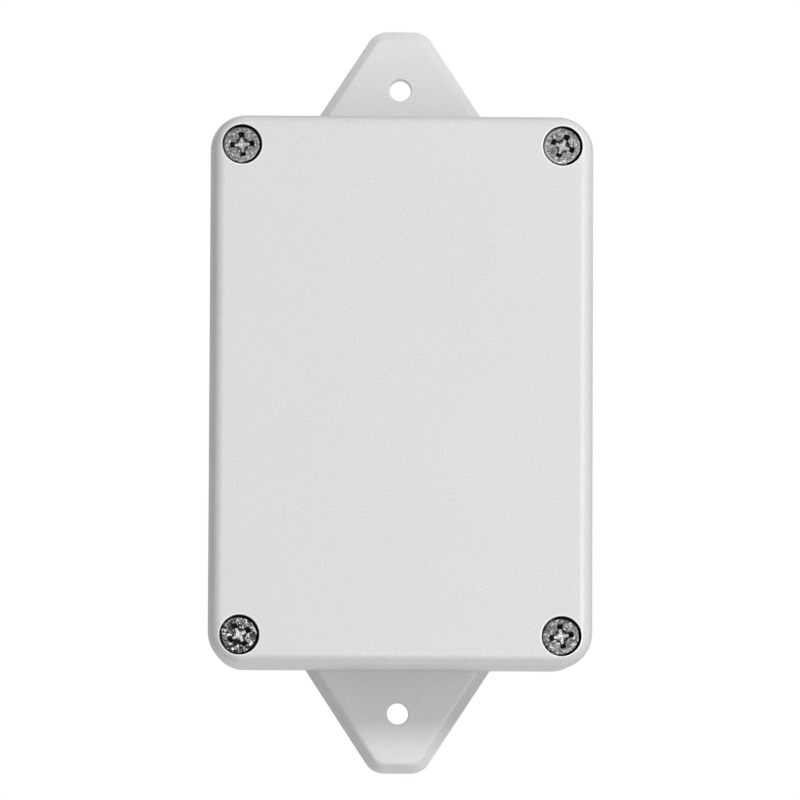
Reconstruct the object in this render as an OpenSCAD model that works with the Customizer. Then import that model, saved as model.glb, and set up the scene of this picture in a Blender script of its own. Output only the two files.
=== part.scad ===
// Wall-mounted relay module: a flanged plastic box with a screwed lid, and the relay board inside it.
// Every module is drawn lying on its back (x right, y up the wall, z out of the wall) and hung up by wall().

/* [Enclosure] */
// Width of the box
box_w = 70; // [68:0.5:80]
// Height of the box without its ears
box_h = 101; // [99:0.5:112]
// Depth of the case, from the wall to its rim
case_d = 25; // [25:0.5:32]
// Depth of the lid
lid_d = 5; // [4.8:0.1:6]
// Corner radius of the box
corner_r = 6.5; // [5.5:0.1:7.5]
// Radius of the rounded front edge of the lid
edge_r = 2.2; // [1.6:0.1:2.3]
// How far the lid's side leans in before that rounding
edge_lean = 0.5; // [0.1:0.1:0.5]
// Angle of the leaning side from the face
edge_taper = 80; // [74:1:80]
// Wall thickness of the case
wall_t = 2.5; // [2:0.1:3]

/* [Fixing ears] */
// Distance between the two wall fixing holes
hole_gap = 116; // [114:0.5:124]
// Radius of a wall fixing hole
hole_r = 2; // [1.6:0.1:2.4]
// Thickness of an ear
ear_t = 3; // [2:0.1:4]
// Distance from a fixing hole to the end of its ear
ear_end = 11; // [10:0.5:13]
// Half width of the ear at its end, before its corners are rounded
ear_tip = 4.6; // [4.2:0.1:6]
// How much an ear's half width grows for each millimetre towards the box
ear_slope = 0.655; // [0.5:0.005:0.8]
// Corner radius at the end of an ear
ear_r = 4; // [2:0.1:4]

/* [Lid screws] */
// Distance of a lid screw from the two nearest sides of the lid
screw_in = 5.75; // [5.5:0.05:6.2]
// Radius of the screw head
head_r = 3.45; // [3:0.05:3.5]
// Depth of the screw head below the lid's face
head_sink = 0.6; // [0.2:0.1:1]

/* [Board] */
// Width of the circuit board
pcb_w = 62; // [62:0.5:63]
// Lower edge of the circuit board, from the middle of the box
pcb_y0 = -27; // [-27:0.5:-26.5]
// Upper edge of the circuit board, from the middle of the box
pcb_y1 = 39.5; // [39:0.1:39.8]
// Thickness of the circuit board
pcb_t = 1.6; // [1.5:0.1:1.6]
// Pitch of the wiring terminals
term_p = 7.62; // [7.5:0.01:7.7]

/* [Relay] */
// Length of the relay
relay_l = 19; // [19:0.1:19.4]
// Width of the relay
relay_w = 15.5; // [15.5:0.1:16]
// Height of the relay
relay_h = 15.4; // [15.4:0.1:16]

/* [Hidden] */
$fn = 48;

top = case_d + lid_d;                        // the lid's face, measured from the wall
sx = box_w / 2 - screw_in;                   // lid screw axes
sy = box_h / 2 - screw_in;
seat = top - head_sink - 1.9;                // underside of the screw heads
pit_r = head_r + 0.17;                       // counterbore round each screw head
post_r = 4.6;                                // screw posts in the corners of the case
floor_t = 2.5;
board_z = 7.5;                               // underside of the circuit board
bt = board_z + pcb_t;                        // its component side
bsx = 28; bsy0 = -24; bsy1 = 36;             // board screws
gr_y = -38;                                  // cable grommet
// wiring terminals: cell centres, and the block between y0 and y1
ty0 = pcb_y0; ty1 = pcb_y0 + 11;
t_x = [-11.5 - term_p / 2, -11.5 + term_p / 2, 10.5 - term_p, 10.5, 10.5 + term_p];
cage_y = -21.2;
tt = bt + 14;
// relay
rx = 11.5; ry = -3.5;
rz = bt + 1.6;                               // top of the relay's base plate
// fuse
fx = -14.5; fy = 29; fz = bt + 3.6;
// button, lamp, jumper
bx = -1; by = 35.4;
lx = 9; ly = 36.4;
jx = 27.6; jy = 9;

module wall() { rotate([90, 0, 0]) children(); }

// rounded rectangle, w by h
module rr(w, h, r) {
  union() {
    square([w - 2 * r, h], center = true);
    square([w, h - 2 * r], center = true);
    for (i = [-1, 1], j = [-1, 1]) translate([i * (w / 2 - r), j * (h / 2 - r)]) circle(r = r);
  }
}

// slab with a rounded rectangular outline and a rounded upper edge
module soft_slab(w, h, r, t, e) {
  union() {
    for (i = [0, 1], j = [0, 1])
      mirror([i, 0, 0]) mirror([0, j, 0]) translate([w / 2 - r, h / 2 - r, 0])
        rotate_extrude(angle = 90) edge_section(r, t, e);
    for (i = [0, 1]) {
      mirror([0, i, 0]) translate([-(w / 2 - r), h / 2 - r, 0]) rotate([90, 0, 90])
        linear_extrude(w - 2 * r) edge_section(r, t, e);
      mirror([i, 0, 0]) translate([w / 2 - r, h / 2 - r, 0]) rotate([90, 0, 0])
        linear_extrude(h - 2 * r) edge_section(r, t, e);
    }
    translate([-(w / 2 - r), -(h / 2 - r), 0]) cube([w - 2 * r, h - 2 * r, t]);
  }
}
module edge_section(r, t, e) {
  c = edge_taper - 90;                       // slope of the side, from upright
  a = cos(c); b = -sin(c);
  cx = r - edge_lean - e * a;
  union() {
    polygon([[0, 0], [r, 0], [r, t - e + e * b - edge_lean * a / b], [r - edge_lean, t - e + e * b], [cx, t - e], [cx, t], [0, t]]);
    translate([cx, t - e]) circle(r = e);
  }
}

module corners() { for (i = [-1, 1], j = [-1, 1]) translate([i * sx, j * sy, 0]) children(); }
module board_holes() { for (i = [-1, 1], y = [bsy0, bsy1]) translate([i * bsx, y, 0]) children(); }

// ---------------------------------------------------------------- enclosure
module ear() {
  tip = hole_gap / 2 + ear_end;
  n = sqrt(1 + ear_slope * ear_slope);
  cx = ear_tip + ear_slope * ear_r - ear_r * n;
  px = cx + ear_r / n;
  py = tip - ear_r + ear_r * ear_slope / n;
  y0 = box_h / 2 - 2;
  bw = ear_tip + ear_slope * (tip - y0);
  difference() {
    linear_extrude(ear_t) union() {
      polygon([[-bw, y0], [bw, y0], [px, py], [cx, tip], [-cx, tip], [-px, py]]);
      for (i = [-1, 1]) translate([i * cx, tip - ear_r]) circle(r = ear_r);
    }
    translate([0, hole_gap / 2, -1]) cylinder(r = hole_r, h = ear_t + 2);
  }
}
module case() {
  color([0.86, 0.865, 0.87]) wall() difference() {
    union() {
      linear_extrude(case_d) difference() {
        rr(box_w, box_h, corner_r);
        rr(box_w - 2 * wall_t, box_h - 2 * wall_t, corner_r - wall_t);
      }
      linear_extrude(floor_t) rr(box_w - 1, box_h - 1, corner_r - 0.5);
      corners() cylinder(r = post_r, h = case_d);
      ear();
      mirror([0, 1, 0]) ear();
      board_holes() cylinder(r = 3, h = board_z);
      // ribs across the floor
      for (y = [-12, 8, 24]) translate([-box_w / 2 + 1, y - 0.6, 0]) cube([box_w - 2, 1.2, 4]);
    }
    corners() translate([0, 0, 6]) cylinder(r = 1.78, h = case_d);
    board_holes() translate([0, 0, 2]) cylinder(r = 1.15, h = case_d);
    translate([0, gr_y, -1]) cylinder(r = 6, h = 6);
    translate([0, gr_y, -1]) cylinder(r = 7.1, h = 2);
  }
}
module cable_grommet() {
  color([0.12, 0.12, 0.125]) wall() translate([0, gr_y, 0]) rotate_extrude()
    polygon([[4, 0], [7, 0], [7, 1], [5.95, 1], [5.95, 2.5], [7.4, 2.5], [7.4, 3.4], [6.6, 4], [4.3, 4], [4, 3.7]]);
}
module lid() {
  color([0.87, 0.875, 0.88]) wall() difference() {
    union() {
      translate([0, 0, case_d]) soft_slab(box_w, box_h, corner_r, lid_d, edge_r);
      // locating lip inside the case's rim
      translate([0, 0, case_d - 2]) linear_extrude(3) difference() {
        rr(box_w - 2 * wall_t - 0.3, box_h - 2 * wall_t - 0.3, corner_r - wall_t - 0.15);
        rr(box_w - 2 * wall_t - 2.9, box_h - 2 * wall_t - 2.9, corner_r - wall_t - 1.45);
        for (i = [-1, 1], j = [-1, 1]) translate([i * sx, j * sy]) circle(r = post_r + 0.3);
      }
    }
    // hollow under the lid, with the screw pillars left standing
    translate([0, 0, case_d - 3]) linear_extrude(3 + lid_d - 2.5) difference() {
      rr(box_w - 2 * wall_t - 2.9, box_h - 2 * wall_t - 2.9, corner_r - wall_t - 1.45);
      for (i = [-1, 1], j = [-1, 1]) translate([i * sx, j * sy]) circle(r = 5.6);
    }
    // the lip is cleared away below the pillars
    corners() translate([0, 0, case_d - 3]) cylinder(r = post_r + 0.3, h = 3);
    corners() translate([0, 0, 0]) cylinder(r = 2, h = top);
    corners() translate([0, 0, seat - 0.6]) cylinder(r = pit_r, h = 10);
    gasket_path(0.75, 1.75, case_d - 1, 2.2);
  }
}
module gasket_path(a, b, z, h) {
  translate([0, 0, z]) linear_extrude(h) difference() {
    rr(box_w - 2 * a, box_h - 2 * a, corner_r - a);
    rr(box_w - 2 * b, box_h - 2 * b, corner_r - b);
  }
}
module lid_gasket() {
  color([0.2, 0.2, 0.21]) wall() gasket_path(0.8, 1.7, case_d, 1.15);
}
// lid screw: thread up to the seat, and a low head with a cross recess
module lid_screw(i, j, a) {
  n = 13; p = 1.25; z1 = seat - 1.4; z0 = z1 - n * p;
  color([0.6, 0.62, 0.63]) wall() translate([i * sx, j * sy, 0]) difference() {
    rotate_extrude() polygon(concat(
      [[0, z0 - 2.2], [0.5, z0 - 2.2], [1.25, z0]],
      [for (k = [0 : n - 1], s = [0 : 3]) [[1.25, 1.7, 1.7, 1.25][s], z0 + p * (k + [0.15, 0.45, 0.6, 0.9][s])]],
      [[1.5, z1 + 0.1], [1.5, seat], [head_r - 0.25, seat], [head_r, seat + 0.3], [head_r, seat + 1.5], [head_r - 0.1, seat + 1.68],
       [head_r - 0.35, seat + 1.82], [head_r - 0.8, seat + 1.9], [0, seat + 1.9]]));
    rotate([0, 0, a]) for (q = [0, 90]) rotate([0, 0, q]) translate([-2.1, -0.5, seat + 0.5]) cube([4.2, 1, 4]);
    translate([0, 0, seat + 0.3]) cylinder(r1 = 0.6, r2 = 1.15, h = 1.7);
  }
}
module lid_screw_tl() lid_screw(-1, 1, 5);
module lid_screw_tr() lid_screw(1, 1, 67);
module lid_screw_bl() lid_screw(-1, -1, 29);
module lid_screw_br() lid_screw(1, -1, 10);
module screw_washer(i, j) {
  color([0.75, 0.75, 0.74]) wall() translate([i * sx, j * sy, seat - 0.6]) difference() {
    cylinder(r = 3.3, h = 0.6);
    translate([0, 0, -1]) cylinder(r = 1.78, h = 3);
  }
}
module screw_washer_tl() screw_washer(-1, 1);
module screw_washer_tr() screw_washer(1, 1);
module screw_washer_bl() screw_washer(-1, -1);
module screw_washer_br() screw_washer(1, -1);

// ---------------------------------------------------------------- board
module circuit_board() {
  color([0.05, 0.32, 0.2]) wall() difference() {
    translate([0, (pcb_y0 + pcb_y1) / 2, board_z]) linear_extrude(pcb_t) rr(pcb_w, pcb_y1 - pcb_y0, 1.5);
    board_holes() translate([0, 0, board_z - 1]) cylinder(r = 1.3, h = 4);
    for (x = t_x) translate([x, ty1 - 0.6, board_z - 1]) cylinder(r = 0.75, h = 4);
    relay_pin_places() translate([0, 0, board_z - 1]) cylinder(r = 0.62, h = 4);
  }
}
module board_screws() {
  color([0.72, 0.72, 0.7]) wall() board_holes() difference() {
    union() {
      translate([0, 0, bt]) cylinder(r = 2.2, h = 1.1);
      translate([0, 0, bt + 1.1]) cylinder(r1 = 2.2, r2 = 1.5, h = 0.5);
      translate([0, 0, 3]) cylinder(r = 1.1, h = bt - 2.9);
    }
    for (q = [0, 90]) rotate([0, 0, q]) translate([-1.2, -0.25, bt + 0.8]) cube([2.4, 0.5, 2]);
  }
}

// ---------------------------------------------------------------- wiring terminals
module terminal_block(cells) {
  n = len(cells);
  x0 = cells[0] - term_p / 2;
  difference() {
    union() {
      translate([x0 + 0.05, ty0, bt]) cube([n * term_p - 0.1, ty1 - ty0, 10.4]);
      translate([x0 + 0.05, ty0 + 1.4, bt]) cube([n * term_p - 0.1, ty1 - ty0 - 1.4, 14]);
    }
    for (x = cells) translate([x, 0, 0]) {
      translate([-2.65, cage_y - 3.15, bt + 0.8]) cube([5.3, 6.3, 9.6]);        // cage shaft
      translate([-1.9, ty0 - 1, bt + 2.2]) cube([3.8, 4, 3.8]);                  // wire mouth
      translate([-1.9, ty1 - 2.8, bt - 1]) cube([3.8, 2.3, 7.4]);                // tongue's foot
      translate([0, cage_y, bt + 9]) cylinder(r = 1.32, h = 10);
      translate([0, cage_y, bt + 11.4]) cylinder(r = 2.05, h = 10);              // screw head
    }
  }
}
module supply_terminal() { color([0.1, 0.42, 0.3]) wall() terminal_block([t_x[0], t_x[1]]); }
module output_terminal() { color([0.1, 0.42, 0.3]) wall() terminal_block([t_x[2], t_x[3], t_x[4]]); }
module terminal_tongues() {
  color([0.75, 0.75, 0.72]) wall() for (x = t_x) translate([x, 0, 0]) union() {
    translate([-1.6, cage_y - 3.1, bt + 5.1]) cube([3.2, 7.2, 0.8]);
    translate([-1.6, cage_y + 3.3, bt]) cube([3.2, 0.8, 5.9]);
    translate([0, ty1 - 0.6, board_z - 1.4]) cylinder(r = 0.7, h = pcb_t + 1.4);
    translate([-0.7, cage_y + 3.4, bt]) cube([1.4, ty1 - 0.55 - cage_y - 3.4, 0.8]);
  }
}
module terminal_screw(k) {
  color([0.7, 0.7, 0.68]) wall() translate([t_x[k], cage_y, 0]) difference() {
    union() {
      translate([0, 0, bt + 5.95]) cylinder(r = 1.2, h = 6);
      translate([0, 0, bt + 11.5]) cylinder(r = 1.95, h = 1.7);
    }
    rotate([0, 0, 20 + 37 * k]) translate([-3, -0.35, bt + 12.4]) cube([6, 0.7, 2]);
  }
}
module terminal_screw_1() terminal_screw(0);
module terminal_screw_2() terminal_screw(1);
module terminal_screw_3() terminal_screw(2);
module terminal_screw_4() terminal_screw(3);
module terminal_screw_5() terminal_screw(4);
module terminal_cage(k) {
  color([0.8, 0.76, 0.6]) wall() translate([t_x[k], cage_y, bt + 0.9]) difference() {
    translate([-2.5, -3, 0]) cube([5, 6, 6.6]);
    translate([-1.8, -4, 1.2]) cube([3.6, 8, 4]);
    cylinder(r = 1.25, h = 10);
  }
}
module terminal_cage_1() terminal_cage(0);
module terminal_cage_2() terminal_cage(1);
module terminal_cage_3() terminal_cage(2);
module terminal_cage_4() terminal_cage(3);
module terminal_cage_5() terminal_cage(4);

// ---------------------------------------------------------------- relay, hinge end at the top, contacts at the bottom
hinge_y = ry + relay_l / 2 - 2.1; hinge_z = rz + 10.5;
arm = 12.6;                                  // from the hinge to the contacts
coil_y = ry + 3.2;
module relay_pin_places() {
  translate([rx - 6, ry + relay_l / 2 - 2.2, 0]) children();
  translate([rx + 6, ry + relay_l / 2 - 2.2, 0]) children();
  translate([rx - 6, ry - relay_l / 2 + 2.2, 0]) children();
  translate([rx + 6, ry - relay_l / 2 + 2.2, 0]) children();
}
module relay_base() {
  color([0.08, 0.08, 0.085]) wall() difference() {
    union() {
      translate([rx - relay_w / 2 + 0.9, ry - relay_l / 2 + 0.9, bt]) cube([relay_w - 1.8, relay_l - 1.8, 1.6]);
      // block that carries the fixed contacts
      translate([rx - 4.5, ry - relay_l / 2 + 1, rz - 0.1]) cube([9, 1.6, 12.8]);
    }
    relay_pin_places() translate([0, 0, bt - 1]) cylinder(r = 0.6, h = 4);
    for (z = [9.45, 12.25]) translate([rx - 1.8, ry - relay_l / 2 + 0.5, rz + z]) cube([3.6, 4, 0.45]);
  }
}
module relay_cover() {
  color([0.1, 0.35, 0.7, 0.6]) wall() difference() {
    translate([rx, ry, bt + 0.1]) linear_extrude(relay_h - 0.1) rr(relay_w, relay_l, 0.8);
    translate([rx, ry, bt - 1]) linear_extrude(relay_h + 0.1) rr(relay_w - 1.6, relay_l - 1.6, 0.3);
  }
}
module relay_bobbin() {
  color([0.9, 0.88, 0.8]) wall() translate([rx, coil_y, rz]) difference() {
    union() {
      translate([-5.6, -4.4, 0]) cube([11.2, 8.2, 0.8]);
      translate([-5.2, -4.4, 8.6]) cube([10.4, 8.2, 0.7]);
      cylinder(r = 2.2, h = 9);
    }
    translate([0, 0, -1]) cylinder(r = 1.6, h = 12);
  }
}
module relay_winding() {
  color([0.72, 0.36, 0.16]) wall() translate([rx, coil_y, rz + 0.85]) difference() {
    cylinder(r = 3.75, h = 7.7);
    translate([0, 0, -1]) cylinder(r = 2.25, h = 12);
  }
}
module relay_core() {
  color([0.62, 0.62, 0.63]) wall() translate([rx, coil_y, rz + 0.05]) union() {
    cylinder(r = 1.5, h = 9.5);
    translate([0, 0, 9.5]) cylinder(r = 3, h = 0.6);
  }
}
module relay_yoke() {
  color([0.62, 0.62, 0.63]) wall() translate([rx, hinge_y, rz]) translate([-4.6, 0, 0]) cube([9.2, 1, 10.45]);
}
// the armature lies on the yoke's top edge and rocks towards the core
module relay_armature() {
  color([0.66, 0.66, 0.67]) wall() union() {
    translate([rx - 4.4, hinge_y - 9.2, hinge_z + 0.05]) cube([8.8, 10, 0.9]);
  }
}
module relay_contact_spring() {
  color([0.8, 0.5, 0.25]) wall() union() {
    translate([rx - 2.4, hinge_y - arm - 1, hinge_z + 0.95]) cube([4.8, arm + 0.4, 0.2]);
    translate([rx, hinge_y - arm, hinge_z + 0.45]) cylinder(r = 1.1, h = 0.5);
    translate([rx, hinge_y - arm, hinge_z + 1.15]) cylinder(r = 1.1, h = 0.35);
    for (y = [2.4, 5.4]) translate([rx, hinge_y - y, hinge_z + 1.15]) cylinder(r = 0.7, h = 0.25);
  }
}
module relay_fixed_contacts() {
  color([0.85, 0.75, 0.5]) wall() union() {
    for (z = [9.5, 12.3]) translate([rx - 1.7, ry - relay_l / 2 + 1.05, rz + z]) cube([3.4, 4.6, 0.35]);
    translate([rx, hinge_y - arm, rz + 9.85]) cylinder(r = 1.1, h = 0.5);
    translate([rx, hinge_y - arm, rz + 12.02]) cylinder(r = 1.1, h = 0.28);
  }
}
module relay_pins() {
  color([0.78, 0.78, 0.75]) wall() relay_pin_places() translate([0, 0, board_z - 1.6]) cylinder(r = 0.5, h = pcb_t + 4);
}

// ---------------------------------------------------------------- power
module power_module() {
  color([0.07, 0.07, 0.075]) wall() difference() {
    translate([-18.5, 5, bt]) linear_extrude(15) rr(20, 34, 0.8);
    translate([-18.5, 5, bt + 14.7]) linear_extrude(2) rr(17, 31, 0.6);
  }
}
module fuse_clips() {
  color([0.78, 0.76, 0.7]) wall() for (i = [-1, 1]) translate([fx + i * 7.6, fy, 0]) union() {
    translate([-2.2, -3.1, bt]) cube([4.4, 6.2, 0.5]);
    for (j = [-1, 1]) mirror([0, j < 0 ? 1 : 0, 0]) translate([-2.2, 2.63, bt]) cube([4.4, 0.47, 6.6]);
  }
}
module fuse_glass() {
  color([0.85, 0.9, 0.92, 0.4]) wall() translate([fx - 7, fy, fz]) rotate([0, 90, 0]) cylinder(r = 2.2, h = 14);
}
module fuse_caps() {
  color([0.8, 0.8, 0.78]) wall() for (i = [-1, 1]) translate([fx + i * 7.6, fy, fz]) rotate([0, 90, 0]) difference() {
    translate([0, 0, -2.4]) cylinder(r = 2.6, h = 4.8);
    translate([0, 0, i > 0 ? -5 : 0.5]) cylinder(r = 2.25, h = 4.5);
  }
}
module varistor() {
  color([0.12, 0.3, 0.6]) wall() translate([-2.6, -7.5, bt + 7.2]) rotate([0, 90, 0]) union() {
    rotate_extrude() polygon([[0, -2], [4.4, -2], [5, -1.3], [5, 1.3], [4.4, 2], [0, 2]]);
    for (i = [-1, 1]) translate([2, i * 2.5 - 0.4, -0.4]) cube([5.2, 0.8, 0.8]);
  }
}
module smoothing_capacitors() {
  color([0.1, 0.1, 0.14]) wall() for (c = [[-2.6, 7, 5, 12.5], [-2, 18.6, 4, 11]]) translate([c[0], c[1], bt])
    rotate_extrude() polygon([[0, 0], [c[2] - 0.2, 0], [c[2], 0.3], [c[2], 1.2], [c[2] - 0.35, 1.6], [c[2], 2],
      [c[2], c[3] - 0.3], [c[2] - 0.4, c[3]], [0, c[3]]]);
}
module diode() {
  color([0.1, 0.1, 0.1]) wall() translate([12, 11, bt + 1.5]) union() {
    translate([-2.6, 0, 0]) rotate([0, 90, 0]) cylinder(r = 1.35, h = 5.2);
    for (i = [-1, 1]) {
      translate([i * 3.8 - 1.4, 0, 0]) rotate([0, 90, 0]) cylinder(r = 0.4, h = 2.8);
      translate([i * 4.9, 0, -1.5]) cylinder(r = 0.4, h = 1.6);
    }
  }
}
module transistor() {
  color([0.09, 0.09, 0.09]) wall() translate([22, 11.5, bt]) union() {
    translate([0, 0, 2]) linear_extrude(4.6) intersection() { circle(r = 2.4); translate([-3, -1.2]) square([6, 4]); }
    for (i = [-1, 0, 1]) translate([i * 1.27 - 0.22, -0.2, 0]) cube([0.44, 0.44, 2.2]);
  }
}
module chip_parts() {
  color([0.15, 0.15, 0.16]) wall() for (c = [[6, 14.2], [9.2, 14.2], [12.4, 14.2], [15.6, 14.2], [24, -12.5], [27.4, -12.5],
      [12.6, 36.6], [16, 36.6], [5, 36.6], [19.4, 36.6]])
    translate([c[0] - 1, c[1] - 0.62, bt]) cube([2, 1.25, 0.55]);
}

// ---------------------------------------------------------------- control
module radio_board() {
  color([0.04, 0.12, 0.2]) wall() translate([3, 17, bt]) cube([24, 16, 0.8]);
}
module radio_shield() {
  color([0.78, 0.78, 0.79]) wall() translate([15.5, 25, bt + 0.8]) difference() {
    translate([-7.5, -6, 0]) cube([15, 12, 2.2]);
    translate([-7.3, -5.8, -1]) cube([14.6, 11.6, 3]);
  }
}
module regulator() {
  color([0.1, 0.1, 0.1]) wall() translate([25.4, -6.4, bt]) union() {
    translate([-3.25, -1.75, 0.1]) cube([6.5, 3.5, 1.6]);
    translate([-1.5, 1.7, 0]) cube([3, 1.8, 0.3]);
    for (i = [-1, 0, 1]) translate([i * 2.3 - 0.35, -3.4, 0]) cube([0.7, 1.7, 0.3]);
  }
}
module inductor() {
  color([0.13, 0.13, 0.13]) wall() translate([24.9, 1.3, bt]) rotate_extrude()
    polygon([[0, 0], [3.6, 0], [3.6, 1], [3, 1.3], [3, 5.4], [3.6, 5.7], [3.6, 6.8], [0, 6.8]]);
}
module button_base() {
  color([0.1, 0.1, 0.1]) wall() difference() {
    translate([bx - 3, by - 3, bt]) cube([6, 6, 3]);
    translate([bx, by, bt + 1.6]) cylinder(r = 2.1, h = 4);
  }
}
module button_frame() {
  color([0.75, 0.75, 0.74]) wall() difference() {
    translate([bx - 3, by - 3, bt + 3]) cube([6, 6, 0.35]);
    translate([bx, by, bt]) cylinder(r = 1.82, h = 6);
  }
}
module button_plunger() {
  color([0.08, 0.08, 0.08]) wall() translate([bx, by, bt]) union() {
    translate([0, 0, 1.95]) cylinder(r = 2, h = 1);
    translate([0, 0, 2]) cylinder(r = 1.75, h = 5);
    translate([0, 0, 7]) cylinder(r1 = 1.75, r2 = 1.5, h = 0.3);
  }
}
module status_led() {
  color([0.3, 0.8, 0.35]) wall() translate([lx, ly, bt]) union() {
    cylinder(r = 1.9, h = 1);
    cylinder(r = 1.5, h = 4);
    translate([0, 0, 4]) intersection() { sphere(r = 1.5); translate([-2, -2, 0]) cube(4); }
  }
}
module jumper_header() {
  color([0.08, 0.08, 0.08]) wall() difference() {
    translate([jx - 1.27, jy - 3.81, bt]) cube([2.54, 7.62, 2.5]);
    for (i = [-1, 0, 1]) translate([jx - 0.35, jy + i * 2.54 - 0.35, bt - 1]) cube([0.7, 0.7, 5]);
  }
}
module jumper_pins() {
  color([0.85, 0.75, 0.45]) wall() for (i = [-1, 0, 1])
    translate([jx - 0.32, jy + i * 2.54 - 0.32, bt]) cube([0.64, 0.64, 8.2]);
}
module jumper_cap() {
  color([0.7, 0.1, 0.1]) wall() difference() {
    translate([jx - 1.25, jy - 1.2, bt + 2.6]) cube([2.5, 4.95, 6]);
    for (i = [0, 1]) translate([jx - 0.4, jy + i * 2.54 - 0.4, bt + 2]) cube([0.8, 0.8, 6.4]);
  }
}

case();
cable_grommet();
circuit_board();
board_screws();
supply_terminal();
output_terminal();
terminal_tongues();
relay_base();
relay_cover();
relay_bobbin();
relay_winding();
relay_core();
relay_yoke();
relay_fixed_contacts();
relay_pins();
relay_armature();
relay_contact_spring();
power_module();
fuse_clips();
fuse_glass();
fuse_caps();
varistor();
smoothing_capacitors();
diode();
transistor();
chip_parts();
radio_board();
radio_shield();
regulator();
inductor();
button_base();
button_frame();
button_plunger();
status_led();
jumper_header();
jumper_pins();
jumper_cap();
lid();
lid_gasket();
lid_screw_tl();
lid_screw_tr();
lid_screw_bl();
lid_screw_br();
screw_washer_tl();
screw_washer_tr();
screw_washer_bl();
screw_washer_br();
terminal_screw_1();
terminal_screw_2();
terminal_screw_3();
terminal_screw_4();
terminal_screw_5();
terminal_cage_1();
terminal_cage_2();
terminal_cage_3();
terminal_cage_4();
terminal_cage_5();
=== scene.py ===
import math

import bmesh
import bpy
from mathutils import Matrix, Vector


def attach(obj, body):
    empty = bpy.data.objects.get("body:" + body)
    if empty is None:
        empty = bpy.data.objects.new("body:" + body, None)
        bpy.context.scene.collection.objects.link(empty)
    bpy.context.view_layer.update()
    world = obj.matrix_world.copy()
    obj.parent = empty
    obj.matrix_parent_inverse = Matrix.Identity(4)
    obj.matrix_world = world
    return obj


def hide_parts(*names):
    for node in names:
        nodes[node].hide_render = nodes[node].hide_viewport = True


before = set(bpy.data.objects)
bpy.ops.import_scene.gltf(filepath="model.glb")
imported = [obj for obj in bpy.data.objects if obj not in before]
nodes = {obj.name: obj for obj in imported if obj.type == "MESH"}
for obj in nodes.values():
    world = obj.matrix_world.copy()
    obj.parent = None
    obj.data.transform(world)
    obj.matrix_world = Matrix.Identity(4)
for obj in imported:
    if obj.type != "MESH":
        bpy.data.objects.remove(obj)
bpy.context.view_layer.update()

MM = 0.001
PI = math.pi

# ------------------------------------------------------------------ sizes, mm (x right, y up the wall, h out of the wall)
BW, BH, CD, LD, CR = 70.0, 101.0, 25.0, 5.0, 6.5
TOP = CD + LD
DRAFT = 0.55          # how much narrower each side of the case is at the wall
EDGE, LEAN, LEAN_A = 2.2, 0.5, 80.0   # rounded front edge, and the lean of the side before it
WALL = 2.5
SX, SY = 29.25, 44.75
SEAT = TOP - 0.6 - 1.9
PIT = 3.62
EAR_T, EAR_TIP, EAR_S, EAR_R, EAR_END, HOLE_Y, HOLE_R = 3.0, 4.6, 0.655, 4.0, 69.0, 58.0, 2.0
GY = -38.0
BZ, BT = 7.5, 9.1


def P(x, y, h):
    return Vector((x * MM, -h * MM, y * MM))


# ------------------------------------------------------------------ camera
L, EL, AZ, ROLL, F = 1350.0, -4.515, -1.012, 0.251, 7407.0
TARGET = Vector((-0.226, -27.0, -1.695)) * MM


def make_camera():
    a, e = math.radians(AZ), math.radians(EL)
    back = Vector((math.sin(a) * math.cos(e), -math.cos(a) * math.cos(e), math.sin(e)))
    fwd = -back
    right = fwd.cross(Vector((0, 0, 1))).normalized()
    up = right.cross(fwd)
    r = math.radians(ROLL)
    right2 = right * math.cos(r) + up * math.sin(r)
    up2 = -right * math.sin(r) + up * math.cos(r)
    cam = bpy.data.cameras.new("camera")
    cam.sensor_fit = "HORIZONTAL"
    cam.sensor_width = 36.0
    cam.lens = F / 800.0 * 36.0
    cam.clip_start = 0.05
    cam.clip_end = 20.0
    ob = bpy.data.objects.new("camera", cam)
    m = Matrix((right2, up2, back)).transposed().to_4x4()
    m.translation = TARGET + back * L * MM
    ob.matrix_world = m
    bpy.context.collection.objects.link(ob)
    bpy.context.scene.camera = ob


make_camera()


# ------------------------------------------------------------------ light and stage
def area(name, direction, dist, size, watts, size_y=None):
    li = bpy.data.lights.new(name, "AREA")
    li.shape = "RECTANGLE"
    li.size = size
    li.size_y = size_y or size
    li.energy = watts
    ob = bpy.data.objects.new(name, li)
    d = Vector(direction).normalized()
    ob.location = d * dist
    ob.rotation_euler = d.to_track_quat("Z", "Y").to_euler()
    ob.visible_camera = False
    bpy.context.collection.objects.link(ob)
    return ob


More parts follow.
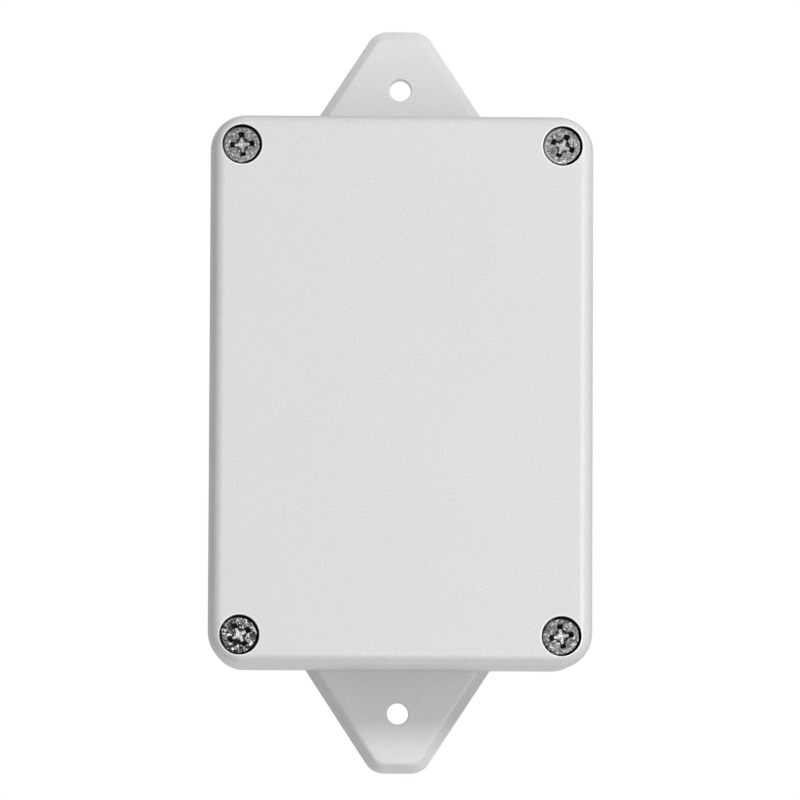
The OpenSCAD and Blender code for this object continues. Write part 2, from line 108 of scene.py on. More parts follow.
def make_world():
    """White studio: a bright backdrop behind the object, a dim room in front, pale above and below."""
    w = bpy.data.worlds.new("studio")
    w.use_nodes = True
    nt = w.node_tree
    nt.nodes.clear()

    def math_node(op, *vals):
        n = nt.nodes.new("ShaderNodeMath")
        n.operation = op
        for k, v in enumerate(vals):
            if hasattr(v, "is_linked"):
                nt.links.new(v, n.inputs[k])
            else:
                n.inputs[k].default_value = v
        return n.outputs[0]

    out = nt.nodes.new("ShaderNodeOutputWorld")
    mix = nt.nodes.new("ShaderNodeMixShader")
    lp = nt.nodes.new("ShaderNodeLightPath")
    seen = nt.nodes.new("ShaderNodeBackground")
    seen.inputs[0].default_value = (1, 1, 1, 1)
    seen.inputs[1].default_value = 1.0
    lit = nt.nodes.new("ShaderNodeBackground")
    tc = nt.nodes.new("ShaderNodeTexCoord")
    sep = nt.nodes.new("ShaderNodeSeparateXYZ")
    nt.links.new(tc.outputs["Generated"], sep.inputs[0])
    behind = nt.nodes.new("ShaderNodeMapRange")
    behind.interpolation_type = "SMOOTHSTEP"
    behind.inputs["From Min"].default_value = -0.1
    behind.inputs["From Max"].default_value = 0.3
    nt.links.new(sep.outputs["Y"], behind.inputs["Value"])
    below = nt.nodes.new("ShaderNodeMapRange")
    below.interpolation_type = "SMOOTHSTEP"
    for k, v in zip(("From Min", "From Max", "To Min", "To Max"), (-0.02, -0.6, BACKDROP, BACKDROP + BACKDROP_LOW)):
        below.inputs[k].default_value = v
    nt.links.new(sep.outputs["Z"], below.inputs["Value"])
    room = math_node("ADD", math_node("MULTIPLY", math_node("MAXIMUM", sep.outputs["Z"], 0.0), ROOM_UP), math_node("MULTIPLY", math_node("MINIMUM", sep.outputs["Z"], 0.0), -ROOM_DOWN))
    ahead = math_node("MAXIMUM", math_node("MULTIPLY", sep.outputs["Y"], -1.0), 0.0)
    fill = math_node("MULTIPLY", math_node("POWER", ahead, 4.0), FILL)
    back = math_node("MULTIPLY", behind.outputs[0], below.outputs[0])
    front = math_node("MULTIPLY", math_node("SUBTRACT", 1.0, behind.outputs[0]), math_node("ADD", room, fill))
    nt.links.new(math_node("ADD", back, front), lit.inputs[1])
    lit.inputs[0].default_value = (0.985, 0.992, 1.0, 1)
    nt.links.new(lp.outputs["Is Camera Ray"], mix.inputs[0])
    nt.links.new(lit.outputs[0], mix.inputs[1])
    nt.links.new(seen.outputs[0], mix.inputs[2])
    nt.links.new(mix.outputs[0], out.inputs[0])
    bpy.context.scene.world = w


BACKDROP, BACKDROP_LOW, ROOM_UP, ROOM_DOWN, FILL = 0.60, 0.2, 0.60, 0.28, 0.74
make_world()


def towards(az, el):
    """Unit vector to a light, azimuth from the front towards +X."""
    a, e = math.radians(az), math.radians(el)
    return (math.sin(a) * math.cos(e), -math.cos(a) * math.cos(e), math.sin(e))


key = area("key", towards(38, 18), 1.2, 0.2, 6.8)
key.visible_glossy = False
key_shine = area("key_shine", towards(36, -3), 1.2, 0.48, 3.7)
key_shine.visible_diffuse = False
area("back_key", towards(165, -64), 1.4, 0.8, 2.2)
low_fill = area("low_fill", towards(18, -19), 3.4, 1.8, 28.4)
low_fill.visible_glossy = False
low_shine = area("low_shine", towards(8, -17), 2.2, 1.2, 7.9)
low_shine.visible_diffuse = False
sc = bpy.context.scene
sc.view_settings.view_transform = "Standard"
sc.view_settings.look = "None"
sc.view_settings.exposure = 0.0
sc.view_settings.gamma = 1.0


def stage_floor():
    me = bpy.data.meshes.new("floor")
    bm = bmesh.new()
    z = -0.32
    vs = [bm.verts.new(c) for c in ((-3, -3, z), (3, -3, z), (3, 3, z), (-3, 3, z))]
    bm.faces.new(vs)
    bm.to_mesh(me)
    bm.free()
    ob = bpy.data.objects.new("floor", me)
    bpy.context.collection.objects.link(ob)
    m = bpy.data.materials.new("floor")
    m.use_nodes = True
    b = m.node_tree.nodes["Principled BSDF"]
    b.inputs["Base Color"].default_value = (0.06, 0.06, 0.06, 1)
    b.inputs["Roughness"].default_value = 0.9
    b.inputs["Specular IOR Level"].default_value = 0.0
    b.inputs["Emission Strength"].default_value = 1.0
    # pale grey under the object, running out to the white of the backdrop
    nt = m.node_tree
    tc = nt.nodes.new("ShaderNodeTexCoord")
    far = nt.nodes.new("ShaderNodeVectorMath")
    far.operation = "LENGTH"
    fade = nt.nodes.new("ShaderNodeMapRange")
    fade.interpolation_type = "SMOOTHSTEP"
    fade.inputs["From Min"].default_value = 0.6
    fade.inputs["From Max"].default_value = 2.7
    mix = nt.nodes.new("ShaderNodeMixRGB")
    mix.inputs[1].default_value = (0.86, 0.865, 0.87, 1)
    mix.inputs[2].default_value = (1, 1, 1, 1)
    nt.links.new(tc.outputs["Object"], far.inputs[0])
    nt.links.new(far.outputs["Value"], fade.inputs["Value"])
    nt.links.new(fade.outputs[0], mix.inputs[0])
    nt.links.new(mix.outputs[0], b.inputs["Emission Color"])
    ob.data.materials.append(m)
    # seen by the camera only, so that the light on the object comes from the studio alone
    ob.visible_diffuse = ob.visible_glossy = ob.visible_transmission = ob.visible_shadow = False


stage_floor()


# ------------------------------------------------------------------ materials
class Mat:
    """A node material with a few shorthand helpers; every pattern runs on object coordinates in metres."""

    def __init__(self, name, color, rough=0.5, metal=0.0, **sock):
        self.m = bpy.data.materials.new(name)
        self.m.use_nodes = True
        self.nt = self.m.node_tree
        self.b = self.nt.nodes["Principled BSDF"]
        self.b.inputs["Base Color"].default_value = (*color, 1)
        self.b.inputs["Roughness"].default_value = rough
        self.b.inputs["Metallic"].default_value = metal
        self.color, self.rough = color, rough
        for k, v in sock.items():
            self.b.inputs[k.replace("_", " ")].default_value = v
        self.tc = self.nt.nodes.new("ShaderNodeTexCoord")
        self.height = None

    def node(self, kind, **props):
        n = self.nt.nodes.new(kind)
        for k, v in props.items():
            setattr(n, k, v)
        return n

    def link(self, a, b):
        self.nt.links.new(a, b)

    def noise(self, scale, detail=2.0, rough=0.5, stretch=None, dist=0.0):
        n = self.node("ShaderNodeTexNoise")
        n.inputs["Scale"].default_value = scale
        n.inputs["Detail"].default_value = detail
        n.inputs["Roughness"].default_value = rough
        n.inputs["Distortion"].default_value = dist
        src = self.tc.outputs["Object"]
        if stretch:
            mp = self.node("ShaderNodeMapping")
            mp.inputs["Scale"].default_value = stretch
            self.link(src, mp.inputs["Vector"])
            src = mp.outputs[0]
        self.link(src, n.inputs["Vector"])
        return n.outputs["Fac"]

    def remap(self, src, a, b, c, d):
        r = self.node("ShaderNodeMapRange")
        for k, v in zip(("From Min", "From Max", "To Min", "To Max"), (a, b, c, d)):
            r.inputs[k].default_value = v
        self.link(src, r.inputs["Value"])
        return r.outputs[0]

    def vary_color(self, fac, other, a=0.35, b=0.65, amount=1.0, base=None):
        mix = self.node("ShaderNodeMix", data_type="RGBA")
        f = self.remap(fac, a, b, 0.0, amount)
        self.link(f, mix.inputs["Factor"])
        if base is None and self.b.inputs["Base Color"].is_linked:
            base = self.b.inputs["Base Color"].links[0].from_socket
        if base is None:
            mix.inputs[6].default_value = (*self.color, 1)
        else:
            self.link(base, mix.inputs[6])
        mix.inputs[7].default_value = (*other, 1)
        self.link(mix.outputs[2], self.b.inputs["Base Color"])
        return mix.outputs[2]

    def vary_rough(self, fac, lo, hi, a=0.3, b=0.7):
        self.link(self.remap(fac, a, b, lo, hi), self.b.inputs["Roughness"])

    def bump(self, fac, dist, strength=1.0):
        n = self.node("ShaderNodeBump")
        n.inputs["Distance"].default_value = dist
        n.inputs["Strength"].default_value = strength
        self.link(fac, n.inputs["Height"])
        if self.height is not None:
            self.link(self.height, n.inputs["Normal"])
        self.height = n.outputs[0]
        self.link(self.height, self.b.inputs["Normal"])
        return self


def moulded(name, color, rough=0.42, grain=0.00002, tone=0.03, scale=1.0, speck=0.11):
    """Injection-moulded plastic: a fine spark-eroded grain, slight flow marks and tone drift."""
    m = Mat(name, color, rough)
    m.vary_color(m.noise(38 * scale, 3, 0.6), tuple(c * (1 - tone) for c in color), 0.3, 0.7)
    m.vary_color(m.noise(2300 * scale, 3, 0.75), tuple(c * (1 - speck) for c in color), 0.38, 0.62)
    m.vary_rough(m.noise(120 * scale, 4, 0.6), rough - 0.05, rough + 0.07)
    m.bump(m.noise(2600 * scale, 2, 0.6), grain, 0.55)
    m.bump(m.noise(60 * scale, 2, 0.4), 0.00006, 0.35)
    return m


def metal(name, color, rough=0.32, dull=None, scratch=0.4, grime=None, scale=1.0):
    m = Mat(name, color, rough, 1.0)
    m.vary_color(m.noise(900 * scale, 3, 0.65), dull or tuple(c * 0.7 for c in color), 0.35, 0.75)
    if grime:
        m.vary_color(m.noise(420 * scale, 4, 0.7, dist=0.6), grime, 0.56, 0.74, 0.8)
    m.vary_rough(m.noise(700 * scale, 3, 0.6), rough - 0.08, rough + 0.16)
    m.bump(m.noise(3200 * scale, 3, 0.7), 0.00001, scratch)
    return m


MATS = {}


def mat(key):
    return MATS[key].m


MATS["case"] = moulded("case_plastic", (0.742, 0.752, 0.764), 0.33)
MATS["lid"] = moulded("lid_plastic", (0.742, 0.752, 0.764), 0.33)


def pit_place(m):
    """Distance from the axis of the nearest screw pit, and the depth coordinate."""
    steps = (("ABSOLUTE", None), ("SUBTRACT", (SX * MM, 0.0, SY * MM)), ("MULTIPLY", (1.0, 0.0, 1.0)), ("LENGTH", None))
    src = m.tc.outputs["Object"]
    sep = m.node("ShaderNodeSeparateXYZ")
    m.link(src, sep.inputs[0])
    for op, other in steps:
        n = m.node("ShaderNodeVectorMath", operation=op)
        m.link(src, n.inputs[0])
        if other:
            n.inputs[1].default_value = other
        src = n.outputs["Value" if op == "LENGTH" else 0]
    return src, sep.outputs["Y"]


def paint_pit_ring_highlight(m, color):
    """Painted highlight: a narrow pale ring painted into the plastic round the mouth of each screw pit."""
    src, deep = pit_place(m)
    inner = m.remap(src, (PIT - 0.03) * MM, PIT * MM, 0.0, 1.0)
    outer = m.remap(src, (PIT + 0.2) * MM, (PIT + 0.36) * MM, 1.0, 0.0)
    near = m.remap(deep, -(TOP - 0.9) * MM, -(TOP - 0.7) * MM, 0.0, 1.0)
    for f in (outer, near):
        n = m.node("ShaderNodeMath", operation="MULTIPLY")
        m.link(inner, n.inputs[0])
        m.link(f, n.inputs[1])
        inner = n.outputs[0]
    m.vary_color(inner, color, 0.0, 1.0)


# painted highlight: a pale ring round each pit mouth on the lid
paint_pit_ring_highlight(MATS["lid"], (0.93, 0.935, 0.94))


# painted highlight: a brighter plastic for the rounded mouth of each screw pit
MATS["pit_rim"] = moulded("pit_rim_painted_highlight", (0.94, 0.945, 0.95), 0.3)
# painted shade for the seam between case and lid
MATS["seam_painted_shade"] = moulded("seam_painted_shade", (0.34, 0.34, 0.335), 0.8, speck=0.3)
# painted shade for the foot and lower wall of each screw pit
MATS["pit_foot"] = moulded("pit_foot_painted_shade", (0.03, 0.03, 0.031), 0.7, speck=0.2)


def paint_pit_shade(m):
    """Painted shade: near black at the foot of a pit, lighter up its wall and on the inner part of the seat under the
    washer.
    """
    src, deep = pit_place(m)
    m.vary_color(m.remap(src, 3.12 * MM, 3.28 * MM, 1.0, 0.0), (0.55, 0.555, 0.56), 0.0, 1.0)
    m.vary_color(m.remap(deep, -(TOP - 1.1) * MM, -(TOP - 0.3) * MM, 0.0, 1.0), (0.34, 0.345, 0.35), 0.0, 1.0)


paint_pit_shade(MATS["pit_foot"])


def worn_zinc(name, light, dark, rough, spots, black, cloud=0.45, rub=0.8, grit=1.0, soft=0.07):
    """Passivated zinc that has been handled: cloudy patches, bright rubs and dark specks."""
    m = Mat(name, light, rough, 1.0)
    m.vary_color(m.noise(1700 * grit, 4, 0.75, dist=0.9), dark, 0.38, 0.60)
    m.vary_color(m.noise(620, 3, 0.7, dist=0.8), tuple(c * 0.7 for c in dark), 0.46, 0.60, cloud)
    m.vary_color(m.noise(2600 * grit, 3, 0.7), tuple(min(1.0, c * 2.2) for c in light), 0.54, 0.57 + soft, rub)
    m.vary_color(m.noise(2500 * grit, 3, 0.8, dist=1.2), black, spots, spots + soft, 0.95)
    m.vary_rough(m.noise(1900, 3, 0.6), rough - 0.1, rough + 0.15)
    m.bump(m.noise(2800, 4, 0.75), 0.00003, 0.8)
    return m


MATS["zinc"] = worn_zinc("zinc_steel", (0.45, 0.455, 0.46), (0.13, 0.133, 0.138), 0.44, 0.60, (0.02, 0.02, 0.021), 0.5, 0.9)
MATS["zinc_old"] = worn_zinc("zinc_steel_worn", (0.64, 0.645, 0.65), (0.04, 0.041, 0.043), 0.42, 0.497, (0.003, 0.003, 0.004), 0.55, 1.0, 0.5, 0.02)
MATS["zinc_dull"] = worn_zinc("zinc_steel_dull", (0.42, 0.425, 0.43), (0.10, 0.102, 0.106), 0.44, 0.56, (0.012, 0.012, 0.013), 0.5, 0.95, 0.75)
# painted shade and painted highlight: dark and bright copies of the zinc, for the cross recess's walls and floor and
# parts of the head's edge
MATS["zinc_painted_shade"] = worn_zinc("zinc_recess_wall_painted_shade", (0.06, 0.06, 0.063), (0.02, 0.02, 0.021), 0.5, 0.55, (0.01, 0.01, 0.01))
MATS["zinc_painted_highlight"] = worn_zinc("zinc_recess_floor_painted_highlight", (0.80, 0.81, 0.82), (0.34, 0.35, 0.36), 0.42, 0.64, (0.05, 0.05, 0.05), 0.15, 1.0)
MATS["thread"] = metal("thread_zinc", (0.50, 0.505, 0.51), 0.34, (0.36, 0.365, 0.37), 0.4)
MATS["nylon"] = moulded("nylon", (0.62, 0.62, 0.59), 0.4)
MATS["rubber"] = moulded("black_rubber", (0.028, 0.028, 0.03), 0.62, 0.00003)


# ------------------------------------------------------------------ mesh helpers
def outward(bm):
    """Makes the normals of every connected shell agree and point out of it."""
    bmesh.ops.recalc_face_normals(bm, faces=bm.faces)
    seen = set()
    for start in bm.faces:
        if start in seen:
            continue
        shell, todo = [], [start]
        seen.add(start)
        while todo:
            f = todo.pop()
            shell.append(f)
            for e in f.edges:
                for g in e.link_faces:
                    if g not in seen:
                        seen.add(g)
                        todo.append(g)
        vol = 0.0
        for f in shell:
            vs = [v.co for v in f.verts]
            for a, b in zip(vs[1:], vs[2:]):
                vol += vs[0].dot(a.cross(b))
        if vol < 0:
            bmesh.ops.reverse_faces(bm, faces=shell)


def new_object(name, bm, body, material, smooth=35, replaces=()):
    outward(bm)
    me = bpy.data.meshes.new(name)
    bm.to_mesh(me)
    bm.free()
    for p in me.polygons:
        p.use_smooth = True
    if smooth is not None:
        me.set_sharp_from_angle(angle=math.radians(smooth))
    ob = bpy.data.objects.new(name, me)
    bpy.context.collection.objects.link(ob)
    me.materials.append(material)
    if body:
        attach(ob, body)
        if replaces:
            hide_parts(*replaces)
    return ob


def arc(cx, cy, r, a0, a1, n):
    return [(cx + r * math.cos(a0 + (a1 - a0) * i / n), cy + r * math.sin(a0 + (a1 - a0) * i / n)) for i in range(n + 1)]


def rr_loop(w, h, r, n=12):
    """Rounded rectangle, counter-clockwise; always 4(n+1) points."""
    r = max(r, 0.02)
    a, b = w / 2 - r, h / 2 - r
    pts = []
    for cx, cy, q in ((a, b, 0), (-a, b, 1), (-a, -b, 2), (a, -b, 3)):
        pts += arc(cx, cy, r, q * PI / 2, (q + 1) * PI / 2, n)
    return pts


def loft(bm, loops, cap0=True, cap1=True):
    """Joins loops of (x, y, h) points with quads."""
    rings = [[bm.verts.new(P(*p)) for p in lp] for lp in loops]
    n = len(rings[0])
    for a, b in zip(rings, rings[1:]):
        for i in range(n):
            j = (i + 1) % n
            bm.faces.new((a[i], a[j], b[j], b[i]))
    if cap0:
        bm.faces.new(list(reversed(rings[0])))
    if cap1:
        bm.faces.new(rings[-1])
    return rings


def rr_loft(profile, w, h, r, n=12):
    """Profile is (inset, height) pairs, swept round a rounded rectangle."""
    return [[(x, y, z) for x, y in rr_loop(w - 2 * d, h - 2 * d, r - d, n)] for d, z in profile]


def lathe(bm, profile, cx=0.0, cy=0.0, n=48):
    """Profile is (radius, height) pairs, closed on itself; radius 0 is a pole."""
    rings = []
    for r, z in profile:
        if r < 1e-6:
            rings.append([bm.verts.new(P(cx, cy, z))])
        else:
            rings.append([bm.verts.new(P(cx + r * math.cos(2 * PI * i / n), cy + r * math.sin(2 * PI * i / n), z)) for i in range(n)])
    pairs = list(zip(rings, rings[1:]))
    if len(rings[0]) > 1 and len(rings[-1]) > 1:
        pairs.append((rings[-1], rings[0]))
    for a, b in pairs:
        for i in range(n):
            j = (i + 1) % n
            f = [a[i % len(a)], a[j % len(a)], b[j % len(b)], b[i % len(b)]]
            f = [v for k, v in enumerate(f) if v not in f[:k]]
            if len(f) > 2:
                bm.faces.new(f)


def box_bm(bm, x0, y0, z0, x1, y1, z1):
    vs = [bm.verts.new(P(x, y, z)) for x in (x0, x1) for y in (y0, y1) for z in (z0, z1)]
    for f in ((0, 1, 3, 2), (4, 6, 7, 5), (0, 4, 5, 1), (2, 3, 7, 6), (0, 2, 6, 4), (1, 5, 7, 3)):
        bm.faces.new([vs[i] for i in f])


def temp(bm):
    outward(bm)
    me = bpy.data.meshes.new("tool")
    bm.to_mesh(me)
    bm.free()
    ob = bpy.data.objects.new("tool", me)
    bpy.context.collection.objects.link(ob)
    return ob


def boolean(base, tool, op):
    """Applies one exact boolean and returns the new mesh on the base object."""
    md = base.modifiers.new("b", "BOOLEAN")
    md.operation = op
    md.solver = "EXACT"
    md.object = tool
    dg = bpy.context.evaluated_depsgraph_get()
    me = bpy.data.meshes.new_from_object(base.evaluated_get(dg))
    base.modifiers.clear()
    old = base.data
    base.data = me
    bpy.data.meshes.remove(old)
    tm = tool.data
    bpy.data.objects.remove(tool)
    bpy.data.meshes.remove(tm)
    return base


def finish_piece(ob, name, body, material, smooth=32, replaces=(), merge=0.000004):
    bm = bmesh.new()
    bm.from_mesh(ob.data)
    bmesh.ops.remove_doubles(bm, verts=bm.verts, dist=merge)
    bmesh.ops.dissolve_degenerate(bm, edges=bm.edges, dist=0.000002)
    old = ob.data
    bpy.data.objects.remove(ob)
    bpy.data.meshes.remove(old)
    out = new_object(name, bm, body, material, smooth, replaces)
    return out


def weighted(ob):
    m = ob.modifiers.new("normals", "WEIGHTED_NORMAL")
    m.keep_sharp = True
    m.weight = 80
    return ob


# ------------------------------------------------------------------ case
def ear_loop(d, h, n=10):
    k = math.sqrt(1 + EAR_S ** 2)
    y0 = BH / 2 - 2.2
    cx = EAR_TIP + EAR_S * EAR_R - EAR_R * k
    hw = EAR_TIP + EAR_S * (EAR_END - y0) - d * k
    a = math.atan(EAR_S)
    r = EAR_R - d
    pts = [(hw, y0)]
    pts += arc(cx, EAR_END - EAR_R, r, a, PI / 2, n)
    pts += arc(-cx, EAR_END - EAR_R, r, PI / 2, PI - a, n)
    pts += [(-hw, y0)]
    return [(x, y, h) for x, y in pts]


def ear_bm(sign):
    bm = bmesh.new()
    # the front edge is a bevel that meets the face in a rounded crease, flatter on the upper ear
    a, crease, corner, wide = math.radians(30 if sign > 0 else 42), 1.2, 0.35, 1.2 if sign > 0 else 1.4
    z = EAR_T - crease * (1 - math.cos(a)) - corner * math.cos(a) - math.tan(a) * (wide - corner * (1 - math.sin(a)))
    prof = [(0.35, 0.0), (0.1, 0.1), (0.0, 0.35), (0.0, z)]
    prof += [(corner * (1 - math.cos(t)), z + corner * math.sin(t)) for t in ((PI / 2 - a) * i / 4 for i in range(1, 5))]
    prof += [(wide + crease * (math.sin(a) - math.sin(t)), EAR_T - crease * (1 - math.cos(t))) for t in (a * (8 - i) / 8 for i in range(0, 9))]
    loft(bm, [[(x * sign, y * sign, z) for x, y, z in ear_loop(d, h)] for d, h in prof])
    return bm


def hole_tool(x, y, r, h0, h1, flare=0.3, n=48):
    """Cutter for a through hole with rounded rims at both faces h0 and h1."""
    bm = bmesh.new()
    prof = [(0, h0 - 1), (r + flare, h0 - 1), (r + flare, h0 - 0.001)]
    prof += [(r + flare - flare * math.sin(t), h0 + flare - flare * math.cos(t)) for t in (PI / 2 * i / 5 for i in range(0, 6))]
    prof += [(r + flare - flare * math.cos(t), h1 - flare + flare * math.sin(t)) for t in (PI / 2 * i / 5 for i in range(0, 6))]
    prof += [(r + flare, h1 + 1), (0, h1 + 1)]
    lathe(bm, prof, x, y, n)
    return temp(bm)


def case_outer_inset(h):
    return DRAFT * (1 - h / CD)


def make_case():
    bm = bmesh.new()
    ri = 1.2
    prof = [(DRAFT + 0.5, 0.0), (DRAFT + 0.15, 0.15), (case_outer_inset(0.5), 0.5)]
    prof += [(case_outer_inset(h), h) for h in (3, 8, 13, 18, 22)]
    prof += [(0.02, CD - 0.35), (0.1, CD - 0.12), (0.32, CD)]
    prof += [(0.64, CD), (WALL - 0.15, CD), (WALL, CD - 0.15), (WALL, CD - 2.3)]
    prof += [(WALL + 0.3, 2.5 + ri)]
    prof += [(WALL + 0.3 + ri * (1 - math.cos(t)), 2.5 + ri - ri * math.sin(t)) for t in (PI / 2 * i / 5 for i in range(1, 6))]
    loft(bm, rr_loft(prof, BW, BH, CR, 14))
    ob = temp(bm)
    # screw posts, tied into the corners
    for i in (-1, 1):
        for j in (-1, 1):
            bm = bmesh.new()
            lathe(bm, [(0, 1.5), (4.75, 1.5), (4.6, CD - 0.25), (4.4, CD - 0.02), (0, CD - 0.02)], i * SX, j * SY, 40)
            boolean(ob, temp(bm), "UNION")
    for y in (-12, 8, 24):
        bm = bmesh.new()
        x = BW / 2 - 1.2
        loft(bm, [[(a * x, y + b, h) for a, b in ((-1, -t), (1, -t), (1, t), (-1, t))] for t, h in ((0.62, 1.5), (0.55, 3.85), (0.4, 4.0))])
        boolean(ob, temp(bm), "UNION")
    for i in (-1, 1):
        for y in (-24, 36):
            bm = bmesh.new()
            lathe(bm, [(0, 1.5), (3.4, 1.5), (3.4, 2.55), (3.05, 3.0), (2.95, BZ), (0, BZ)], i * 28, y, 32)
            boolean(ob, temp(bm), "UNION")
    for s in (1, -1):
        boolean(ob, temp(ear_bm(s)), "UNION")
    for s in (1, -1):
        boolean(ob, hole_tool(0, s * HOLE_Y, HOLE_R, 0, EAR_T, 0.25, 56), "DIFFERENCE")
    for i in (-1, 1):
        for j in (-1, 1):
            bm = bmesh.new()
            lathe(bm, [(0, 5.4), (1.78, 6.2), (1.78, CD - 0.5), (2.1, CD - 0.15), (2.1, CD + 1), (0, CD + 1)], i * SX, j * SY, 32)
            boolean(ob, temp(bm), "DIFFERENCE")
        for y in (-24, 36):
            bm = bmesh.new()
            lathe(bm, [(0, 1.8), (1.15, 2.2), (1.15, BZ + 1), (0, BZ + 1)], i * 28, y, 24)
            boolean(ob, temp(bm), "DIFFERENCE")
    bm = bmesh.new()
    lathe(bm, [(0, -1), (7.1, -1), (7.1, 1), (6.0, 1), (6.0, 6), (0, 6)], 0, GY, 64)
    boolean(ob, temp(bm), "DIFFERENCE")
    # back: marks of the ejector pins, the gate's dimple and nib, and four shallow core-outs between lands
    bm = bmesh.new()
    for x, y in ((-28, -24), (28, -24), (-28, 36), (28, 36), (-SX, -SY), (SX, -SY), (-SX, SY), (SX, SY), (0, 46)):
        lathe(bm, [(0, -1), (2.55, -1), (2.5, 0.1), (0, 0.12)], x, y, 36)
    lathe(bm, [(0, -1), (2.3, -1), (2.1, 0.25), (1.7, 0.4), (0, 0.42)], 0, 5, 36)
    boolean(ob, temp(bm), "DIFFERENCE")
    for x0, x1, y0, y1 in ((-23.5, -4.0, 9.3, 41.0), (4.0, 23.5, 9.3, 41.0), (-23.5, -4.0, -28.7, 0.7), (4.0, 23.5, -28.7, 0.7)):
        bm = bmesh.new()
        w, l = x1 - x0, y1 - y0
        loft(bm, [[(x + (x0 + x1) / 2, y + (y0 + y1) / 2, z) for x, y in rr_loop(w + d, l + d, 2.2 + d / 2, 8)] for d, z in ((0.7, -1), (0.6, -0.2), (0.1, 0.25), (-0.7, 0.55), (-1.1, 0.61))])
        boolean(ob, temp(bm), "DIFFERENCE")
    bm = bmesh.new()
    lathe(bm, [(0, 0.06), (0.7, 0.1), (0.95, 0.45), (0.95, 0.6), (0, 0.6)], 0, 5, 20)
    boolean(ob, temp(bm), "UNION")
    ob = finish_piece(ob, "case_shell", "base", mat("case"), 28, ("case",))
    ob.data.materials.append(mat("seam_painted_shade"))      # painted shade in the seam, on the rim's outer edge
    for f in ob.data.polygons:
        x, y, h = abs(f.center.x / MM), abs(f.center.z / MM), -f.center.y / MM
        ax, ay = x - BW / 2 + CR, y - BH / 2 + CR
        inset = CR - math.hypot(ax, ay) if min(ax, ay) > 0 else min(BW / 2 - x, BH / 2 - y)
        if h > CD - 0.14 and 0.1 < inset < 0.64:
            f.material_index = 1
    return weighted(ob)


# ------------------------------------------------------------------ lid
def make_lid():
    bm = bmesh.new()
    wi = WALL + 1.45          # inner side of the lip
    prof = [(wi + 0.9, TOP - 2.5), (wi + 0.35, TOP - 2.56), (wi + 0.08, TOP - 2.9), (wi, TOP - 3.3), (wi, CD - 1.75), (wi + 0.2, CD - 2.0),
            (wi + 0.95, CD - 2.0), (WALL + 0.2, CD - 1.7), (WALL + 0.15, CD - 0.05), (WALL + 0.1, CD)]
    prof[6] = (WALL + 0.4, CD - 2.0)
    prof += [(1.75, CD), (1.75, CD + 1.2), (0.75, CD + 1.2), (0.75, CD), (0.64, CD), (0.6, CD + 0.22), (0.2, CD + 0.22), (0.08, CD + 0.26), (0.02, CD + 0.32), (0.0, CD + 0.38)]
    lean = math.radians(90 - LEAN_A)
    k = LEAN + EDGE * math.cos(lean)        # where the flat face starts
    t0 = TOP - EDGE + EDGE * math.sin(lean)
    z0 = t0 - LEAN / math.tan(lean)
    prof += [(0.008, z0 + 0.08)]
    prof += [(LEAN * f, z0 + (t0 - z0) * f) for f in (0.3, 0.65)]
    prof += [(k - EDGE * math.cos(t), TOP - EDGE + EDGE * math.sin(t)) for t in (lean + (PI / 2 - lean) * i / 14 for i in range(0, 15))]
    prof += [(k + 0.6, TOP)]
    loft(bm, rr_loft(prof, BW, BH, CR, 18))
    ob = temp(bm)
    for i in (-1, 1):
        for j in (-1, 1):
            bm = bmesh.new()
            lathe(bm, [(0, CD), (5.45, CD), (5.6, CD + 0.15), (5.6, TOP - 1.5), (0, TOP - 1.5)], i * SX, j * SY, 40)
            pillar = temp(bm)
            bm = bmesh.new()          # the pillar ends inside the lid's side wall
            loft(bm, rr_loft([(1.3, CD - 1), (1.35, TOP - 1)], BW, BH, CR, 18))
            boolean(ob, boolean(pillar, temp(bm), "INTERSECT"), "UNION")
            bm = bmesh.new()
            lathe(bm, [(0, CD - 4), (4.9, CD - 4), (4.9, CD), (0, CD)], i * SX, j * SY, 40)
            boolean(ob, temp(bm), "DIFFERENCE")
    # the screw pits: rounded mouth, slightly tapered wall, flat seat
    for i in (-1, 1):
        for j in (-1, 1):
            bm = bmesh.new()
            f = 0.2
            prof = [(0, CD - 1), (2.0, CD - 1), (2.0, SEAT - 0.75), (2.15, SEAT - 0.6), (PIT - 0.05, SEAT - 0.6), (PIT, TOP - f)]
            prof += [(PIT + f - f * math.cos(t), TOP - f + f * math.sin(t)) for t in (PI / 2 * k / 4 for k in range(1, 5))]
            prof += [(PIT + f, TOP + 1), (0, TOP + 1)]
            lathe(bm, prof, i * SX, j * SY, 72)
            boolean(ob, temp(bm), "DIFFERENCE")
    # two stiffening ribs under the lid, and the marks of the pins that pushed it out of its mould
    for y in (-20, 20):
        bm = bmesh.new()
        loft(bm, [[(a * 30.6, y + b, h) for a, b in ((-1, -t), (1, -t), (1, t), (-1, t))] for t, h in ((0.4, TOP - 3.9), (0.55, TOP - 3.75), (0.65, TOP - 2.2))])
        boolean(ob, temp(bm), "UNION")
    for x, y in ((-22, 33), (22, 33), (-22, -33), (22, -33), (-22, 0), (22, 0), (0, 0)):
        bm = bmesh.new()
        lathe(bm, [(0, TOP - 2.62), (2.0, TOP - 2.62), (2.1, TOP - 2.4), (0, TOP - 2.4)], x, y, 32)
        boolean(ob, temp(bm), "UNION")
    ob = finish_piece(ob, "lid_shell", "cover", mat("lid"), 28, ("lid",))
    ob.data.materials.append(mat("pit_rim"))
    ob.data.materials.append(mat("pit_foot"))
    for f in ob.data.polygons:
        x, y, h = f.center.x / MM, f.center.z / MM, -f.center.y / MM
        d = math.hypot(abs(x) - SX, abs(y) - SY)
        if h > SEAT - 0.7 and d < PIT + 0.21:
            # painted highlight on the rounded mouth of the pit
            if h > TOP - 0.19 and d > PIT - 0.02:
                f.material_index = 1
            # painted shade at the foot and lower wall of the pit
            elif 2.1 < d < PIT + 0.02 and h < TOP - 0.2:
                f.material_index = 2
    return weighted(ob)


make_case()
make_lid()


